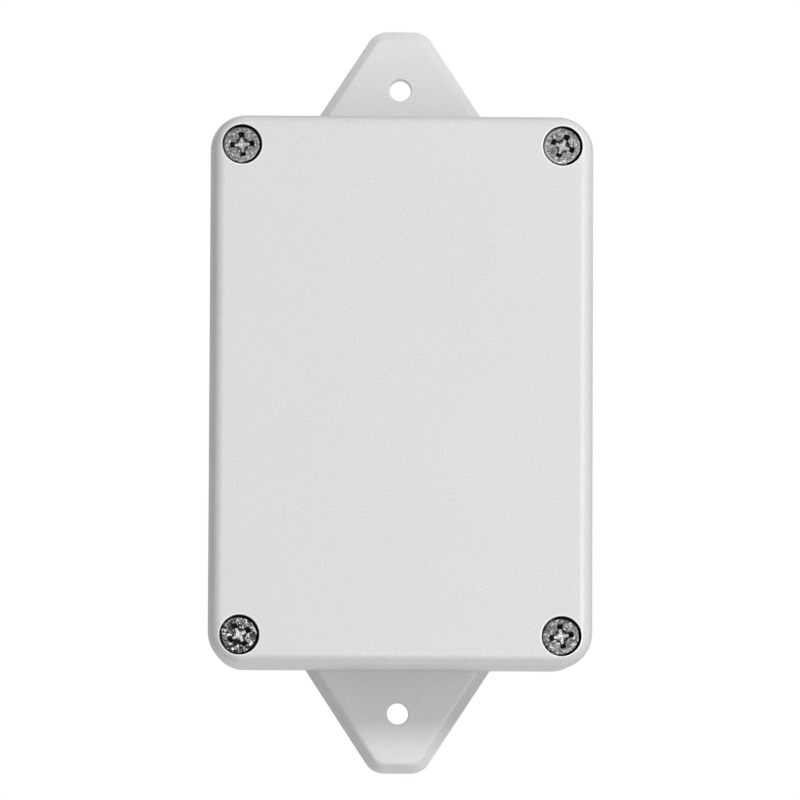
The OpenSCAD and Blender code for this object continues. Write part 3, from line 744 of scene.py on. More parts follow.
# ------------------------------------------------------------------ lid screws
HEAD_R = 3.45
HEAD_OFF = {"tl": (0.11, 0.04), "tr": (0.112, 0.0), "bl": (0.11, 0.04), "br": (0.11, 0.04)}       # each head sits a little off the middle of its pit


def screw_head(bm, cx, cy, off):
    r, z = HEAD_R, SEAT
    prof = [(0, z + 0.02), (1.55, z), (r - 0.35, z), (r - 0.1, z + 0.12), (r, z + 0.35), (r, z + 1.45), (r - 0.02, z + 1.58), (r - 0.07, z + 1.7),
            (r - 0.16, z + 1.8), (r - 0.3, z + 1.865), (r - 0.5, z + 1.89), (r - 0.9, z + 1.9), (r - 1.6, z + 1.9), (r - 2.3, z + 1.9), (0, z + 1.9)]
    lathe(bm, prof, cx - off[0], cy - off[1], 72)


def make_lid_screw(tag, i, j, deg, finish):
    cx, cy = i * SX, j * SY
    bm = bmesh.new()
    screw_head(bm, cx, cy, HEAD_OFF[tag])
    ob = temp(bm)
    a = math.radians(deg)
    top = SEAT + 1.9
    for q in range(2):
        bm = bmesh.new()
        ang = a + q * PI / 2
        c, s = math.cos(ang), math.sin(ang)
        rings = []
        for t, r, w in ((0.5, 2.5, 1.75), (0.03, 2.27, 1.25), (-0.16, 2.16, 1.0), (-0.7, 1.85, 0.74), (-1.15, 1.35, 0.56)):
            pts = []
            for x, y in ((r - 0.42 * w, -w * 0.42), (r - 0.2 * w, -w / 2), (r, -w * 0.25), (r, w * 0.25), (r - 0.2 * w, w / 2), (r - 0.42 * w, w * 0.42),
                         (-r + 0.42 * w, w * 0.42), (-r + 0.2 * w, w / 2), (-r, w * 0.25), (-r, -w * 0.25), (-r + 0.2 * w, -w / 2), (-r + 0.42 * w, -w * 0.42)):
                pts.append((cx + x * c - y * s, cy + x * s + y * c, top + t))
            rings.append(pts)
        loft(bm, rings[::-1])
        boolean(ob, temp(bm), "DIFFERENCE")
    # the well where the wings meet: rounded square mouth, shallow dished floor
    bm = bmesh.new()
    rings = []
    for t, r in ((0.5, 1.55), (0.0, 1.3), (-0.35, 1.12), (-0.8, 0.98), (-1.0, 0.8), (-1.12, 0.5), (-1.17, 0.15)):
        rings.append([(cx + r * math.cos(a + PI / 4 + k * PI / 6) * (1.0 if k % 3 == 0 else 0.86), cy + r * math.sin(a + PI / 4 + k * PI / 6) * (1.0 if k % 3 == 0 else 0.86), top + t) for k in range(12)])
    loft(bm, rings[::-1])
    boolean(ob, temp(bm), "DIFFERENCE")
    head = bmesh.new()
    head.from_mesh(ob.data)
    old = ob.data
    bpy.data.objects.remove(ob)
    bpy.data.meshes.remove(old)
    bmesh.ops.remove_doubles(head, verts=head.verts, dist=0.000003)
    shank = bmesh.new()
    z1 = SEAT - 1.0
    z0 = z1 - 16.4
    n = 26
    pitch = 1.25
    core, crest = 1.22, 1.69
    # one skin: rings of points whose radius follows a helix
    zs = []
    m = int((z1 - z0) / pitch * 12)
    rows = []
    for s in range(m + 1):
        z = z0 + (z1 - z0) * s / m
        row = []
        for k in range(n):
            th = 2 * PI * k / n
            ph = ((z - z0) / pitch - k / n) % 1.0
            t = max(0.0, 1 - abs(ph - 0.5) / 0.3)
            t = min(1.0, t * 1.25)
            fade = min(1.0, (z - z0) / 2.4 + 0.15, (z1 - z) / 0.8)
            taper = min(1.0, 0.5 + (z - z0) / 4.2)
            r = (core + (crest - core) * t * fade) * taper
            row.append(shank.verts.new(P(cx + r * math.cos(th), cy + r * math.sin(th), z)))
        rows.append(row)
    for ra, rb in zip(rows, rows[1:]):
        for k in range(n):
            q = (k + 1) % n
            shank.faces.new((ra[k], ra[q], rb[q], rb[k]))
    tip = shank.verts.new(P(cx, cy, z0 - 1.6))
    for k in range(n):
        shank.faces.new((tip, rows[0][(k + 1) % n], rows[0][k]))
    neck = []
    for r, z in ((1.5, SEAT - 0.55), (1.5, SEAT + 0.01)):
        neck.append([shank.verts.new(P(cx + r * math.cos(2 * PI * k / n), cy + r * math.sin(2 * PI * k / n), z)) for k in range(n)])
    for ra, rb in ((rows[-1], neck[0]), (neck[0], neck[1])):
        for k in range(n):
            q = (k + 1) % n
            shank.faces.new((ra[k], ra[q], rb[q], rb[k]))
    shank.faces.new(neck[1])
    me = bpy.data.meshes.new("shank")
    shank.to_mesh(me)
    shank.free()
    head.from_mesh(me)
    bpy.data.meshes.remove(me)
    ob = new_object("lid_screw_" + tag + "_piece", head, "screw_" + tag, mat(finish), 30, ("lid_screw_" + tag,))
    ob.data.materials.append(mat("zinc_painted_shade"))
    ob.data.materials.append(mat("zinc_painted_highlight"))
    ob.data.materials.append(mat("thread"))
    axis = P(cx, cy, 0)
    for f in ob.data.polygons:
        d = math.hypot(f.center.x - axis.x, f.center.z - axis.z) / MM
        h = -f.center.y / MM
        # painted highlight on the floor of the cross recess, painted shade on its walls
        if d < 2.4 and SEAT + 0.3 < h < SEAT + 1.9 - 0.03:
            f.material_index = 2 if (d < 1.05 and -f.normal.y > 0.45) or (d < 0.95 and h < SEAT + 0.95) else 1
        # painted shade round the head's upper right edge and down its side
        q = math.degrees(math.atan2(f.center.z - axis.z, f.center.x - axis.x))
        if d > HEAD_R - 0.33 and SEAT + 0.4 < h and (-80 < q < 112 or h < SEAT + 1.5):
            f.material_index = 1
        if tag == "tr" and d > HEAD_R - 0.4 and h > SEAT + 1.3 and not -75 < q < 80:
            f.material_index = 2      # painted highlight on the left part of this head's top edge
        if h < SEAT - 0.02 and d < 1.8:
            f.material_index = 3
    return ob


for tag, i, j, deg, finish in (("tl", -1, 1, 5, "zinc"), ("tr", 1, 1, 67, "zinc"), ("bl", -1, -1, 29, "zinc_old"), ("br", 1, -1, 10, "zinc_dull")):
    make_lid_screw(tag, i, j, deg, finish)

# ------------------------------------------------------------------ finishes of the inside
def plastic(name, color, rough=0.38, grain=0.00002, tone=0.12, **sock):
    m = Mat(name, color, rough, **sock)
    m.vary_color(m.noise(260, 4, 0.6), tuple(c * (1 - tone) for c in color), 0.3, 0.7)
    m.vary_color(m.noise(1700, 2, 0.6), tuple(min(1.0, c * (1 + tone)) for c in color), 0.5, 0.8, 0.6)
    m.vary_rough(m.noise(420, 4, 0.6), rough - 0.06, rough + 0.1)
    m.bump(m.noise(3000, 3, 0.6), grain, 0.6)
    return m


def clear(name, color, rough, ior, amount=0.95):
    m = Mat(name, color, rough, IOR=ior, Transmission_Weight=amount)
    m.vary_color(m.noise(300, 3, 0.6), tuple(c * 0.9 for c in color), 0.35, 0.7)
    m.vary_rough(m.noise(500, 3, 0.6), max(0.01, rough - 0.03), rough + 0.05)
    m.bump(m.noise(450, 2, 0.5), 0.00001, 0.4)
    return m


def weave_board(name, color, glint, rough=0.28):
    """Solder mask over glass cloth: the faint square weave shows through."""
    m = Mat(name, color, rough)
    xs = m.node("ShaderNodeSeparateXYZ")
    m.link(m.tc.outputs["Object"], xs.inputs[0])
    tot = None
    for axis in ("X", "Z"):
        k = m.node("ShaderNodeMath", operation="MULTIPLY")
        m.link(xs.outputs[axis], k.inputs[0])
        k.inputs[1].default_value = 7800.0
        s = m.node("ShaderNodeMath", operation="SINE")
        m.link(k.outputs[0], s.inputs[0])
        if tot is None:
            tot = s.outputs[0]
        else:
            a = m.node("ShaderNodeMath", operation="MULTIPLY")
            m.link(tot, a.inputs[0])
            m.link(s.outputs[0], a.inputs[1])
            tot = a.outputs[0]
    m.vary_color(tot, glint, -0.2, 0.9, 0.5)
    m.vary_color(m.noise(150, 4, 0.6), tuple(c * 0.75 for c in color), 0.45, 0.75, 0.6)
    m.vary_rough(m.noise(600, 3, 0.6), rough - 0.06, rough + 0.1)
    m.bump(tot, 0.000012, 0.4)
    m.bump(m.noise(1200, 3, 0.6), 0.000012, 0.4)
    return m


MATS["mask"] = weave_board("solder_mask", (0.012, 0.13, 0.055), (0.02, 0.17, 0.075))
MATS["mask_trace"] = weave_board("solder_mask_over_copper", (0.03, 0.235, 0.095), (0.045, 0.27, 0.11), 0.24)
MATS["laminate"] = plastic("laminate_edge", (0.32, 0.30, 0.14), 0.6)
MATS["ink"] = plastic("legend_ink", (0.78, 0.78, 0.74), 0.55)
MATS["tin"] = metal("tinned_metal", (0.72, 0.71, 0.68), 0.26, (0.55, 0.54, 0.51), 0.4)
MATS["solder"] = metal("solder", (0.62, 0.62, 0.62), 0.22, (0.42, 0.42, 0.42), 0.5, (0.25, 0.24, 0.22))
MATS["steel"] = metal("bright_steel", (0.66, 0.66, 0.65), 0.25, (0.5, 0.5, 0.49), 0.4)
MATS["terminal"] = plastic("terminal_plastic", (0.03, 0.26, 0.13), 0.42)
MATS["clamp_screw"] = metal("clamp_screw_steel", (0.6, 0.6, 0.57), 0.3, (0.42, 0.42, 0.4), 0.6, (0.2, 0.19, 0.17))
MATS["brass"] = metal("clamp_brass", (0.74, 0.66, 0.44), 0.3, (0.55, 0.46, 0.28), 0.5)
MATS["black"] = plastic("black_plastic", (0.02, 0.02, 0.022), 0.42)
MATS["cover"] = clear("relay_cover_plastic", (0.20, 0.48, 0.84), 0.06, 1.49, 0.92)
MATS["bobbin"] = plastic("bobbin_plastic", (0.72, 0.68, 0.56), 0.5)
MATS["copper"] = metal("copper_wire", (0.62, 0.24, 0.09), 0.28, (0.42, 0.13, 0.05), 0.5)
MATS["iron"] = metal("magnet_iron", (0.42, 0.42, 0.43), 0.34, (0.3, 0.3, 0.31), 0.6)
MATS["bronze"] = metal("contact_bronze", (0.72, 0.42, 0.2), 0.3, (0.55, 0.28, 0.13), 0.5)
MATS["contact"] = metal("contact_metal", (0.82, 0.66, 0.3), 0.24, (0.65, 0.5, 0.2), 0.5)
MATS["silver"] = metal("contact_silver", (0.8, 0.79, 0.76), 0.2, (0.6, 0.58, 0.54), 0.5)
MATS["potting"] = plastic("potting_black", (0.014, 0.014, 0.016), 0.36, 0.00003)
MATS["glass"] = clear("fuse_tube_glass", (0.93, 0.97, 0.96), 0.03, 1.5, 1.0)
MATS["varistor"] = plastic("varistor_blue", (0.02, 0.11, 0.42), 0.26, 0.00003)
MATS["sleeve"] = plastic("capacitor_sleeve", (0.018, 0.022, 0.06), 0.24, 0.00001)
MATS["stripe"] = plastic("sleeve_stripe", (0.55, 0.57, 0.62), 0.3, 0.00001)
MATS["epoxy"] = plastic("component_black", (0.022, 0.022, 0.024), 0.5, 0.00003)
MATS["ceramic"] = plastic("ceramic_tan", (0.42, 0.30, 0.17), 0.45)
MATS["ferrite"] = plastic("ferrite", (0.045, 0.043, 0.042), 0.55, 0.00004)
MATS["radio_mask"] = weave_board("radio_mask", (0.008, 0.022, 0.07), (0.014, 0.032, 0.09))
MATS["lamp"] = clear("lamp_green", (0.12, 0.75, 0.22), 0.12, 1.53, 0.7)
MATS["jumper"] = plastic("jumper_red", (0.5, 0.02, 0.02), 0.36)


# ------------------------------------------------------------------ building blocks of the small parts
def tri(axis, u, v, t):
    """(u, v) across and t along the axis, as (x, y, h)."""
    return {"h": (u, v, t), "x": (t, u, v), "y": (u, t, v)}[axis]


def b_box(x0, y0, z0, x1, y1, z1, r=0.1, seg=2):
    bm = bmesh.new()
    box_bm(bm, x0, y0, z0, x1, y1, z1)
    bmesh.ops.recalc_face_normals(bm, faces=bm.faces)
    if r:
        bmesh.ops.bevel(bm, geom=list(bm.edges), offset=r * MM, segments=seg, profile=0.5, affect="EDGES", clamp_overlap=True)
    return bm


def b_turn(profile, at=(0, 0, 0), axis="h", n=32, a0=0.0):
    """Profile is (radius, along) pairs round an axis through a point; radius 0 is a pole."""
    bm = bmesh.new()
    rings = []
    for r, z in profile:
        angs = [0.0] if r < 1e-6 else [a0 + 2 * PI * i / n for i in range(n)]
        ring = []
        for a in angs:
            q = tri(axis, r * math.cos(a) if r > 1e-6 else 0.0, r * math.sin(a) if r > 1e-6 else 0.0, z)
            ring.append(bm.verts.new(P(at[0] + q[0], at[1] + q[1], at[2] + q[2])))
        rings.append(ring)
    pairs = list(zip(rings, rings[1:]))
    if len(rings[0]) > 1 and len(rings[-1]) > 1:
        pairs.append((rings[-1], rings[0]))
    for a, b in pairs:
        for i in range(n):
            j = (i + 1) % n
            f = [a[i % len(a)], a[j % len(a)], b[j % len(b)], b[i % len(b)]]
            f = [v for k, v in enumerate(f) if v not in f[:k]]
            if len(f) > 2:
                bm.faces.new(f)
    bmesh.ops.recalc_face_normals(bm, faces=bm.faces)
    return bm


def b_prism(pts, t0, t1, r=0.08, axis="h", seg=2):
    """A polygon of (u, v) points extruded along an axis, its edges eased."""
    bm = bmesh.new()
    lo = [bm.verts.new(P(*tri(axis, u, v, t0))) for u, v in pts]
    hi = [bm.verts.new(P(*tri(axis, u, v, t1))) for u, v in pts]
    n = len(pts)
    for i in range(n):
        j = (i + 1) % n
        bm.faces.new((lo[i], lo[j], hi[j], hi[i]))
    bm.faces.new(lo[::-1])
    bm.faces.new(hi)
    bmesh.ops.recalc_face_normals(bm, faces=bm.faces)
    if r:
        caps = [e for e in bm.edges if len(e.link_faces) == 2 and (len(e.link_faces[0].verts) == n) != (len(e.link_faces[1].verts) == n)]
        if n == 4:
            caps = list(bm.edges)
        bmesh.ops.bevel(bm, geom=caps, offset=r * MM, segments=seg, profile=0.5, affect="EDGES", clamp_overlap=True)
    return bm


def thicken(path, t):
    """Outline of an open (u, v) path of the given thickness, with mitred corners."""
    n = len(path)
    left, right = [], []
    for i, (u, v) in enumerate(path):
        d = []
        if i > 0:
            d.append((u - path[i - 1][0], v - path[i - 1][1]))
        if i < n - 1:
            d.append((path[i + 1][0] - u, path[i + 1][1] - v))
        ns = []
        for a, b in d:
            k = math.hypot(a, b)
            ns.append((-b / k, a / k))
        nx, ny = sum(q[0] for q in ns), sum(q[1] for q in ns)
        k = math.hypot(nx, ny)
        nx, ny = nx / k, ny / k
        c = max(0.4, nx * ns[0][0] + ny * ns[0][1])
        left.append((u + nx * t / 2 / c, v + ny * t / 2 / c))
        right.append((u - nx * t / 2 / c, v - ny * t / 2 / c))
    return left + right[::-1]


def ease(path, r=0.4, k=3):
    """Rounds the corners of a path of points of any dimension."""
    out = [path[0]]
    for a, b, c in zip(path, path[1:], path[2:]):
        la = math.dist(a, b)
        lc = math.dist(b, c)
        q = min(r, la * 0.45, lc * 0.45)
        p0 = [b[i] + (a[i] - b[i]) * q / la for i in range(len(b))]
        p1 = [b[i] + (c[i] - b[i]) * q / lc for i in range(len(b))]
        for s in range(k + 1):
            t = s / k
            out.append(tuple(p0[i] * (1 - t) ** 2 + 2 * b[i] * t * (1 - t) + p1[i] * t * t for i in range(len(b))))
    out.append(path[-1])
    return out


def b_sheet(path, t, t0, t1, r=0.05, axis="x", bend=0.4):
    """Bent sheet metal: a path across the axis, given its thickness and extruded."""
    return b_prism(thicken(ease(path, bend), t), t0, t1, r, axis, 1)


def b_wire(path, r, n=10, bend=0.6):
    """Round wire through (x, y, h) points, its ends slightly domed."""
    pts = [Vector(p) for p in (ease(path, bend, 4) if len(path) > 2 else path)]
    bm = bmesh.new()
    d0 = (pts[1] - pts[0]).normalized()
    up = Vector((1, 0, 0)) if abs(d0.x) < 0.8 else Vector((0, 1, 0))
    rings = []
    m = len(pts)
    for i, p in enumerate(pts):
        d = ((pts[min(i + 1, m - 1)] - pts[max(i - 1, 0)])).normalized()
        u = (up - d * up.dot(d)).normalized()
        w = d.cross(u)
        up = u
        rs = [(p, r)]
        if i == 0:
            rs = [(p, r * 0.6), (p + d * r * 0.25, r)]
        if i == m - 1:
            rs = [(p - d * r * 0.25, r), (p, r * 0.6)]
        for c, q in rs:
            rings.append([bm.verts.new(P(*(c + u * q * math.cos(2 * PI * k / n) + w * q * math.sin(2 * PI * k / n)))) for k in range(n)])
    for a, b in zip(rings, rings[1:]):
        for k in range(n):
            j = (k + 1) % n
            bm.faces.new((a[k], a[j], b[j], b[k]))
    bm.faces.new(rings[0][::-1])
    bm.faces.new(rings[-1])
    bmesh.ops.recalc_face_normals(bm, faces=bm.faces)
    return bm


def b_ring(loops):
    """A closed ring swept through loops, the last joined to the first."""
    bm = bmesh.new()
    rings = [[bm.verts.new(P(*p)) for p in lp] for lp in loops]
    n = len(rings[0])
    for a, b in zip(rings, rings[1:] + rings[:1]):
        for i in range(n):
            j = (i + 1) % n
            bm.faces.new((a[i], a[j], b[j], b[i]))
    bmesh.ops.recalc_face_normals(bm, faces=bm.faces)
    return bm


def b_slab(stack, cx, cy, n=6):
    """Stack of (w, h, corner radius, height) rounded rectangles about a centre, closed at both ends."""
    bm = bmesh.new()
    loft(bm, [[(x + cx, y + cy, z) for x, y in rr_loop(w, h, r, n)] for w, h, r, z in stack])
    bmesh.ops.recalc_face_normals(bm, faces=bm.faces)
    return bm


def cut(bm, *tools, op="DIFFERENCE"):
    """Booleans on bmesh shells; the result comes back as a bmesh."""
    ob = temp(bm)
    for t in tools:
        boolean(ob, temp(t), op)
    out = bmesh.new()
    out.from_mesh(ob.data)
    me = ob.data
    bpy.data.objects.remove(ob)
    bpy.data.meshes.remove(me)
    bmesh.ops.remove_doubles(out, verts=out.verts, dist=0.000001)
    return out


def put(bm, dx=0.0, dy=0.0, dh=0.0, turn=0.0, about=(0.0, 0.0)):
    """A moved and turned copy; turn is in degrees about the out-of-wall axis."""
    c = bm.copy()
    a = math.radians(turn)
    ca, sa = math.cos(a), math.sin(a)
    for v in c.verts:
        x, y, h = v.co.x / MM - about[0], v.co.z / MM - about[1], -v.co.y / MM
        v.co = P(x * ca - y * sa + about[0] + dx, x * sa + y * ca + about[1] + dy, h + dh)
    return c


class Piece:
    """Gathers closed shells, each with one of the piece's materials, into one object."""

    def __init__(self, name, body, slot, mats, replaces=(), smooth=32):
        self.name, self.body, self.slot, self.mats, self.replaces, self.smooth = name, body, slot, mats, replaces, smooth
        self.bm = bmesh.new()

    def add(self, bm, k=0, rule=None):
        for f in bm.faces:
            f.material_index = rule(f) if rule else k
        me = bpy.data.meshes.new("part")
        bm.to_mesh(me)
        bm.free()
        self.bm.from_mesh(me)
        bpy.data.meshes.remove(me)
        return self

    def done(self, soft=True):
        ob = new_object(self.name, self.bm, self.body, mat(self.mats[0]), self.smooth, self.replaces)
        for k in self.mats[1:]:
            ob.data.materials.append(mat(k))
        return weighted(ob) if soft else ob


def refine(node, body, slot, mats, width=0.12, seg=2, angle=24, rule=None, extra=()):
    """A finished copy of a CAD node's skin: welded, flats joined, every sharp edge eased."""
    bm = bmesh.new()
    bm.from_mesh(nodes[node].data)
    bmesh.ops.remove_doubles(bm, verts=bm.verts, dist=0.000002)
    bmesh.ops.dissolve_limit(bm, angle_limit=math.radians(1.0), verts=bm.verts, edges=bm.edges)
    bmesh.ops.recalc_face_normals(bm, faces=bm.faces)
    edges = [e for e in bm.edges if len(e.link_faces) == 2 and e.calc_face_angle(0.0) > math.radians(angle)]
    if width:
        bmesh.ops.bevel(bm, geom=edges, offset=width * MM, segments=seg, profile=0.5, affect="EDGES", clamp_overlap=True)
    p = Piece(node + "_finished", body, slot, mats, (node,))
    p.add(bm, 0, rule)
    for b, k in extra:
        p.add(b, k)
    return p.done()


def plan(f):
    """Centre of a face as (x, y, h) in millimetres."""
    c = f.calc_center_median()
    return c.x / MM, c.z / MM, -c.y / MM


TX = [-11.5 - 3.81, -11.5 + 3.81, 10.5 - 7.62, 10.5, 10.5 + 7.62]
CAGE_Y = -21.2
RX, RY = 11.5, -3.5
RZ = BT + 1.6
HINGE_Y = RY + 9.5 - 2.1
HINGE_Z = RZ + 10.5
RELAY_PINS = [(RX + i * 6, RY + j * 7.3) for i in (-1, 1) for j in (1, -1)]


def joint(x, y, r=0.95, lead=0.4, tip=1.25):
    """Solder cone on the underside of the board with the trimmed lead in it."""
    z = BZ
    return b_turn([(0, z - tip), (lead * 0.7, z - tip), (lead, z - tip + 0.15), (lead + 0.04, z - 0.75), (lead + 0.18, z - 0.4), (r * 0.85, z - 0.12), (r, z - 0.04), (r, z + 0.02), (0, z + 0.02)], (x, y, 0), n=14)


# ------------------------------------------------------------------ circuit board
def make_board():
    p = Piece("board", "base", "solder_mask", ("mask", "laminate", "mask_trace", "tin", "ink", "solder"), ("circuit_board",), 30)
    bm = bmesh.new()
    loft(bm, [[(x, y + 6.25, h) for x, y in rr_loop(62 - 2 * d, 66.5 - 2 * d, 1.5 - d, 8)] for d, h in ((0.1, BZ), (0, BZ + 0.1), (0, BT - 0.1), (0.1, BT))])
    holes = [(i * 28, y, 1.3) for i in (-1, 1) for y in (-24, 36)] + [(x, -16.6, 0.75) for x in TX] + [(x, y, 0.62) for x, y in RELAY_PINS]
    tool = bmesh.new()
    for x, y, r in holes:
        lathe(tool, [(0, BZ - 1), (r, BZ - 1), (r, BT + 1), (0, BT + 1)], x, y, 24)
    board = cut(bm, tool)
    p.add(board, 0, lambda f: 1 if abs(f.normal.y) < 0.5 else 0)
    z0, z1 = BT - 0.01, BT + 0.035

    def track(w, pts, under=False):
        a, b = (z0, z1) if not under else (BZ - 0.035, BZ + 0.01)
        p.add(b_prism(thicken(ease(pts, 0.5, 2), w), a, b, 0), 2)

    track(2.4, [(-15.31, -16.6), (-17.6, -14.2), (-28.0, -14.2), (-29.6, -12.6), (-29.6, 25.4), (-26.0, 29.0), (-22.1, 29.0)])
    track(2.4, [(-7.69, -16.6), (-5.4, -14.0), (-2.6, -12.4), (-2.6, -10.0)])
    track(1.6, [(-6.9, 29.0), (-6.9, 25.0), (-8.4, 23.4), (-24.8, 23.4), (-24.8, 21.0)])
    track(1.2, [(-2.6, -5.0), (-2.6, 0.6), (-2.6, 2.5)])
    track(1.2, [(-2.0, 14.0), (-2.0, 12.2), (-7.2, 12.2), (-8.9, 12.2)])
    track(2.6, [(5.5, -10.8), (5.5, -13.2), (2.88, -15.6), (2.88, -16.6)])
    track(2.6, [(17.5, -10.8), (17.5, -13.4), (18.12, -14.4), (18.12, -16.6)])
    track(2.6, [(10.5, -16.6), (10.5, -14.4), (12.0, -12.9), (12.0, -11.5)])
    track(0.7, [(5.5, 3.8), (3.0, 6.4), (3.0, 9.4), (4.6, 11.0), (7.1, 11.0)])
    track(0.7, [(16.9, 11.0), (18.6, 9.3), (18.6, 6.2), (17.5, 5.0), (17.5, 3.8)])
    track(0.45, [(20.73, 11.3), (19.4, 12.6), (16.6, 12.6), (16.6, 14.2)])
    track(0.45, [(23.27, 11.3), (24.2, 10.4), (24.2, 8.0), (26.4, 6.4)])
    track(0.45, [(22.0, 11.3), (22.0, 8.6), (20.4, 7.0), (20.4, -2.0)])
    track(0.45, [(5.0, 14.2), (3.6, 14.2), (2.4, 15.4), (2.4, 20.0)])
    track(0.45, [(7.0, 14.2), (8.2, 14.2)])
    track(0.45, [(10.2, 14.2), (11.4, 14.2)])
    track(0.45, [(13.4, 14.2), (14.6, 14.2)])
    track(0.9, [(23.1, -9.2), (23.1, -11.2), (23.1, -12.5)])
    track(0.9, [(27.7, -9.2), (28.6, -10.4), (28.6, -12.5)])
    track(0.9, [(25.4, -4.0), (25.4, -2.4), (29.3, -2.4), (29.3, 3.8), (27.6, 5.6)])
    track(0.45, [(25.2, -12.5), (26.2, -12.5)])
    track(0.45, [(29.8, 11.5), (29.8, 27.5), (28.0, 29.3)])
    track(0.45, [(28.0, 13.0), (28.6, 14.0), (28.6, 17.4), (27.6, 18.4)])
    track(0.45, [(2.3, 37.4), (3.9, 36.6)])
    track(0.45, [(6.0, 36.6), (7.4, 36.6)])
    track(0.45, [(10.4, 36.6), (11.5, 36.6)])
    track(0.45, [(13.7, 36.6), (14.9, 36.6)])
    track(0.45, [(17.1, 36.6), (18.3, 36.6)])
    track(0.45, [(20.5, 36.6), (22.0, 35.6), (22.0, 33.4)])
    track(0.45, [(2.3, 33.4), (2.3, 31.0)])
    track(0.45, [(16.0, 38.0), (16.0, 38.6), (4.0, 38.6), (2.6, 38.6)])
    for w, pts in ((3.0, [(2.88, -16.6), (2.88, -13.4), (5.5, -10.8)]), (3.0, [(18.12, -16.6), (18.12, -13.0), (17.5, -10.8)]),
                   (3.0, [(10.5, -16.6), (10.5, -9.0), (11.5, -8.0)]), (3.0, [(-15.31, -16.6), (-15.31, -13.0), (-26.0, -13.0), (-26.0, -8.0)]),
                   (3.0, [(-7.69, -16.6), (-7.69, -12.0), (-12.0, -9.0)]), (0.6, [(-2.6, 9.2), (-6.5, 13.0), (-6.5, 20.0), (-3.5, 23.0), (3.0, 23.0)]),
                   (0.6, [(20.73, 11.3), (18.0, 8.6), (18.0, 0.0), (21.0, -4.0)]), (0.6, [(27.6, 6.5), (24.0, 6.5), (21.5, 4.0)]),
                   (0.6, [(7.7, 36.4), (4.0, 32.7), (-1.0, 32.7), (-4.2, 33.1)]), (0.6, [(10.3, 36.4), (13.0, 33.6), (25.0, 33.6), (27.6, 31.0), (27.6, 11.6)]),
                   (0.6, [(5.5, 3.8), (5.5, 8.0), (7.1, 9.6), (7.1, 11.0)]), (0.6, [(16.9, 11.0), (17.5, 9.0), (17.5, 3.8)])):
        track(w, pts, True)
    # annular pads on both sides, vias, mounting pads
    for x, y, r in holes:
        ro = r + (0.65 if r < 1 else 1.1)
        for a, b in ((BT - 0.01, BT + 0.05), (BZ - 0.05, BZ + 0.01)):
            p.add(b_turn([(r, a), (ro, a), (ro, b), (r + 0.02, b)], (x, y, 0), n=24), 3)
    vias = [(-28.2, -15.8), (-26.4, -15.8), (2.4, 20.0), (22.0, 8.6), (20.4, -2.0), (20.4, -4.2), (29.3, 0.2), (28.6, 15.6), (29.8, 20.0), (29.8, 23.5), (3.0, 8.2),
            (18.6, 7.6), (6.8, -14.8), (8.0, -14.8), (14.2, -14.8), (15.4, -14.8), (22.2, -15.6), (24.2, -15.6), (26.2, -15.6), (-6.6, 33.2), (-8.6, 33.2), (-10.6, 33.2),
            (-26.6, 33.6), (-24.6, 33.6), (22.0, 35.6), (25.0, 37.6), (2.6, 38.6), (-6.4, -14.6), (29.4, -15.6), (29.4, -18.6)]
    for x, y in vias:
        p.add(b_turn([(0.16, BT - 0.3), (0.42, BT - 0.01), (0.42, BT + 0.03), (0.36, BT + 0.045), (0.2, BT + 0.045)], (x, y, 0), n=14), 3)
    # solder on the underside
    for x in TX:
        p.add(joint(x, -16.6, 1.35, 0.68, 1.38), 5)
    for x, y in RELAY_PINS:
        p.add(joint(x, y, 1.2, 0.5, 1.55), 5)
    for x, y in ([(-22.1, 27.6), (-22.1, 30.4), (-6.9, 27.6), (-6.9, 30.4), (-25.5, -9), (-18.5, -9), (-11.5, -9), (-24.8, 19), (-12.2, 19), (-2.6, 4.5), (-2.6, 9.5),
                  (-2.0, 16.85), (-2.0, 20.35), (-2.6, -10), (-2.6, -5), (7.1, 11), (16.9, 11), (20.73, 11.3), (22, 11.3), (23.27, 11.3), (22.4, 1.3), (27.4, 1.3), (7.73, 36.4), (10.27, 36.4),
                  (-4.2, 33.15), (2.2, 33.15), (-4.2, 37.65), (2.2, 37.65), (27.6, 6.46), (27.6, 9), (27.6, 11.54)]):
        p.add(joint(x, y), 5)
    # printed outlines of the parts
    a, b = BT - 0.01, BT + 0.028

    def line(pts, w=0.18):
        p.add(b_prism(thicken(pts, w), a, b, 0), 4)

    def frame_of(x0, y0, x1, y1, w=0.18):
        for q in (((x0 - w / 2, y0), (x1 + w / 2, y0)), ((x0 - w / 2, y1), (x1 + w / 2, y1)), ((x0, y0 + w / 2), (x0, y1 - w / 2)), ((x1, y0 + w / 2), (x1, y1 - w / 2))):
            line(q, w)

    def circle_of(x, y, r, w=0.18):
        p.add(b_turn([(r - w / 2, a), (r + w / 2, a), (r + w / 2, b), (r - w / 2, b)], (x, y, 0), n=48), 4)

